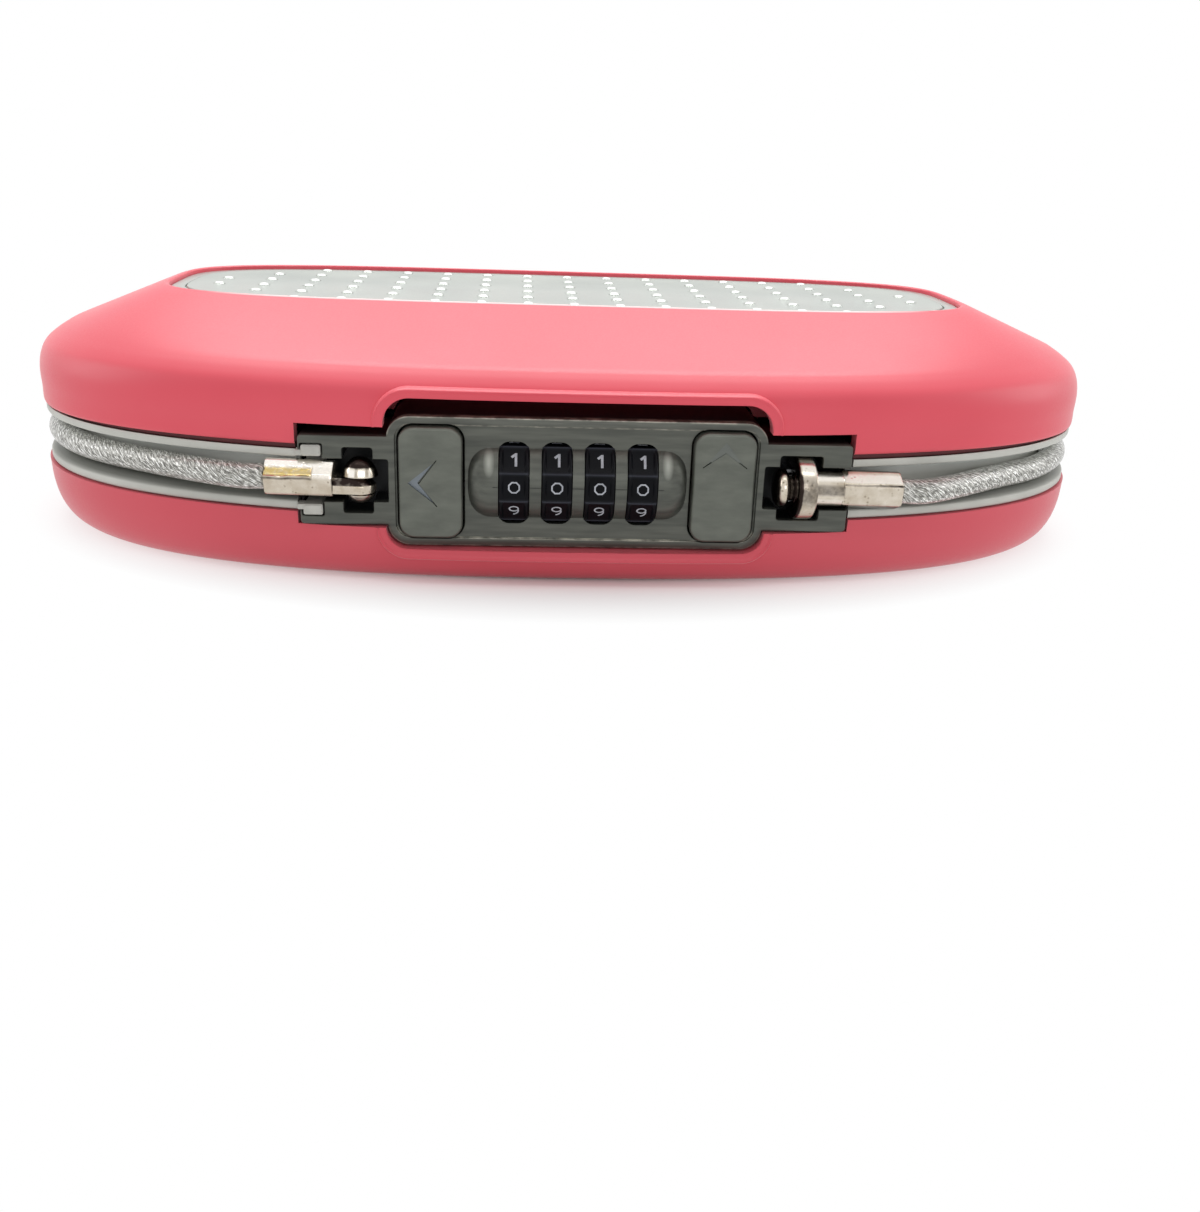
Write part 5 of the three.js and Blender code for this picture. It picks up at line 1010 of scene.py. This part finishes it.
# Plug: head, neck with a bead, wide flange, collar and six-sided sleeve, as radius and place along
plugProfile = [[1.2, -6.4], [2.2, -6.3], [3.0, -6.1], [3.6, -5.75], [3.9, -5.35], [4.0, -4.95], [3.95, -4.5],
               [3.7, -4.1], [3.2, -3.8], [2.7, -3.7], [2.6, -3.4], [2.6, -2.8], [3.2, -2.78], [3.35, -2.7],
               [3.4, -2.6], [5.8, -2.6], [6.1, -2.5], [6.3, -2.25], [6.36, -1.85], [6.36, 0.45], [6.3, 0.85],
               [6.1, 1.1], [5.8, 1.2], [3.8, 1.25], [3.75, 1.4], [3.75, 7.2], [3.6, 7.5]]
points, faces = gather([turned(plugProfile, "x", steps=96), skin(sleeve(*fitting["right"]["sleeve"], -4))])
cablePlug = meshObject("cablePlug", alongFitting("right", points), faces, 28)


# Painted light on the plug: painted dark reflections and shade on the head's flanks and ends, the neck, the flange's
# inner face and the front of its rim, bands round the collar, and the sleeve's corner line, edges and start; painted
# highlights on the upper part of the flange's rim, the collar and the sleeve.
def plugShade(s, degrees, radius, z):
    head = ramp(np.abs(degrees - 12), 34, 52) * 0.85 + ramp(s, -5.7, -6.1) * 0.7 + ramp(s, -4.3, -3.9) * 0.5
    neck = (s > -3.75) * (s < -2.7) * (0.8 - 0.6 * (np.abs(s + 3.4) < 0.05))
    face = (s > -2.75) * (s < -2.2) * 0.9
    rim = 0.42 * ramp(np.abs(degrees - 5), 36, 14) - 0.5 * ramp(degrees, 34, 44) * ramp(degrees, 80, 66)
    collar = (ramp(degrees, 30, 20) * ramp(degrees, -14, -4) * 0.42 + ramp(degrees, -44, -54) * 0.8
              + ramp(degrees, 72, 84) * 0.8 - ramp(degrees, 32, 42) * ramp(degrees, 72, 62) * 0.7
              - ramp(degrees, -18, -26) * ramp(degrees, -44, -38) * 0.4)
    wave = 25.5 + 1.2 * np.sin(0.45 * s)
    line = ramp(degrees, wave - 5, wave - 1) * ramp(degrees, wave + 6, wave + 2) * (0.3 + 0.3 * ramp(s, 12, 19))
    edges = ramp(degrees, -46, -58) * 0.6 + ramp(degrees, 76, 90) * 0.5
    paintedHighlight = ramp(degrees, 32, 36) * ramp(degrees, 74, 66) * 0.6
    return ((s < -3.75) * head + neck + face + (s > -2.3) * (s < 1.15) * rim + (s > 1.2) * (s < 7.35) * collar
            + (s > 7.35) * (line + edges - paintedHighlight + ramp(s, 7.7, 7.4) * 0.4))


setPaintedLight(cablePlug, "right", plugShade)
finishPiece(cablePlug, "nickel", "case", "cable_plug")

# Clip: two jaws with rounded edges and small nubs, joined behind the ferrule
clip = {"bridge": [[-54.6, 6.3, -6.5], [-50.8, 7.7, 6.5]], "ends": [
    {"x": -52.7, "z": 6.0, "outlines": [[3.2, 1.6, 0.3], [3.8, 2.2, 0.35], [3.8, 2.2, 0.35]], "y": [-0.4, -0.1, 7.6]},
    {"x": -55.0, "z": 5.5, "outlines": [[1.5, 1.0, 0.3], [1.7, 1.2, 0.3], [1.7, 1.2, 0.3]], "y": [-0.1, 0.1, 2.4]},
]}
shapes = [stacked([roundRect(*outline, end["x"], end["z"] * side, 4) for outline in end["outlines"]], end["y"])
          for side in (1, -1) for end in clip["ends"]]
points, faces = gather([inLock(shape) for shape in [*shapes, block(*clip["bridge"])]])
finishPiece(meshObject("ferruleClip", points, faces, 30), "clip", "case", "ferrule_clip")
print("stage: fittings")

# Materials of the CAD nodes that keep their shape
kept = {
    "nickel": ["swivel_pin"],
    "steel": ["striker", "striker_screw_1", "striker_screw_2", "hinge_pin", "locking_bar", "wheel_spindle",
              "cable_catch", "lid_latch", "housing_screw_1", "housing_screw_2",
              *[f"frame_screw_{i}" for i in range(1, 7)], *[f"cover_screw_{i}" for i in range(1, 5)]],
    "spring": ["detent_spring", "left_spring", "right_spring", "latch_spring"],
    "brass": [f"dial_sleeve_{i}" for i in (1, 2, 3, 4)],
    "cover": ["lock_cover", "reset_lever"],
    "foam": ["base_liner", "lid_liner"],
}
for slot, owners in kept.items():
    for owner in owners:
        nodes[owner].data.materials.clear()
        nodes[owner].data.materials.append(finish[slot])

# The latch's spring is a merged copy of its node
coilMesh = nodes["latch_spring"].data.copy()
work = bmesh.new()
work.from_mesh(coilMesh)
bmesh.ops.remove_doubles(work, verts=work.verts, dist=1e-6)
bmesh.ops.recalc_face_normals(work, faces=work.faces)
work.to_mesh(coilMesh)
work.free()
coil = addObject("latchCoil", coilMesh)
finishPiece(coil, "spring", "case", "latch_spring")
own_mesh(coil)
print("stage: kept nodes")

# Studio: a pale floor that turns white away from the safe, a white surround and soft lamps
parts = startMaterial("paleStudioFloor")
tree = parts["tree"]
rays = addNode(tree, "LightPath")
seen = addNode(tree, "Math", {0: rays.outputs["Is Camera Ray"], 1: rays.outputs["Is Glossy Ray"]},
               operation="MAXIMUM")
tone = addNode(tree, "Mix", {0: seen, 6: toLinear("#A4A4A4"), 7: toLinear("#FFFFFF")}, data_type="RGBA")
feed(parts, {"Base Color": tone, "Roughness": 0.9, "Specular IOR Level": 0.0})
glow = addNode(tree, "Emission", {"Color": (1, 1, 1, 1), "Strength": 1.0})
away = addNode(tree, "VectorMath", {0: parts["place"], 1: [4.0, 6.0, 0]}, operation="MULTIPLY")
far = addNode(tree, "VectorMath", {0: away}, operation="LENGTH")
fade = addNode(tree, "MapRange", {0: far, 1: 0.36, 2: 0.52})
both = addNode(tree, "MixShader", {0: fade, 1: parts["shader"], 2: glow})
tree.links.new(result(both), parts["output"].inputs["Surface"])
floorMesh = bpy.data.meshes.new("studioFloor")
floorMesh.from_pydata([(x, y, -0.5 * mm) for x, y in [(-3, -3), (3, -3), (3, 3), (-3, 3)]], [], [[0, 1, 2, 3]])
floor = addObject("studioFloor", floorMesh)
floorMesh.materials.append(parts["material"])

world = bpy.data.worlds.new("surround")
bpy.context.scene.world = world
world.use_nodes = True
sky = world.node_tree
sky.nodes.clear()
rays = addNode(sky, "LightPath")
seen = rays.outputs["Is Camera Ray"]
for kind in ("Is Glossy Ray", "Is Transmission Ray"):
    seen = addNode(sky, "Math", {0: seen, 1: rays.outputs[kind]}, operation="MAXIMUM")
dim, white = (addNode(sky, "Background", {"Color": (1, 1, 1, 1), "Strength": strength}) for strength in (0.42, 1.0))
either = addNode(sky, "MixShader", {0: seen, 1: dim, 2: white})
addNode(sky, "OutputWorld", {"Surface": either})

lamps = [
    {"name": "topBox", "place": (0.0, 0.42, 0.85), "size": (1.0, 0.32), "power": 8.3},
    {"name": "edgeBox", "place": (0.0, -0.4, 0.85), "size": (1.0, 0.16), "power": 0.9},
    {"name": "leftBox", "place": (-0.9, 0.0, 0.35), "size": (0.4, 0.5), "power": 1.6},
    {"name": "rightBox", "place": (0.9, 0.0, 0.35), "size": (0.4, 0.5), "power": 1.8},
    {"name": "frontBox", "place": (0.1, -0.9, 0.3), "size": (0.6, 0.3), "power": 0.9},
]
for look in lamps:
    lamp = bpy.data.lights.new(look["name"], "AREA")
    lamp.shape = "RECTANGLE"
    lamp.size, lamp.size_y = look["size"]
    lamp.energy = look["power"]
    holder = addObject(look["name"], lamp)
    backward = np.array(look["place"]) - [0, 0, 0.02]
    backward = backward / np.linalg.norm(backward)
    side = np.cross([0, 0, 1], backward)
    side = side / np.linalg.norm(side)
    standObject(holder, look["place"], side, np.cross(backward, side), backward)
print("stage: studio")
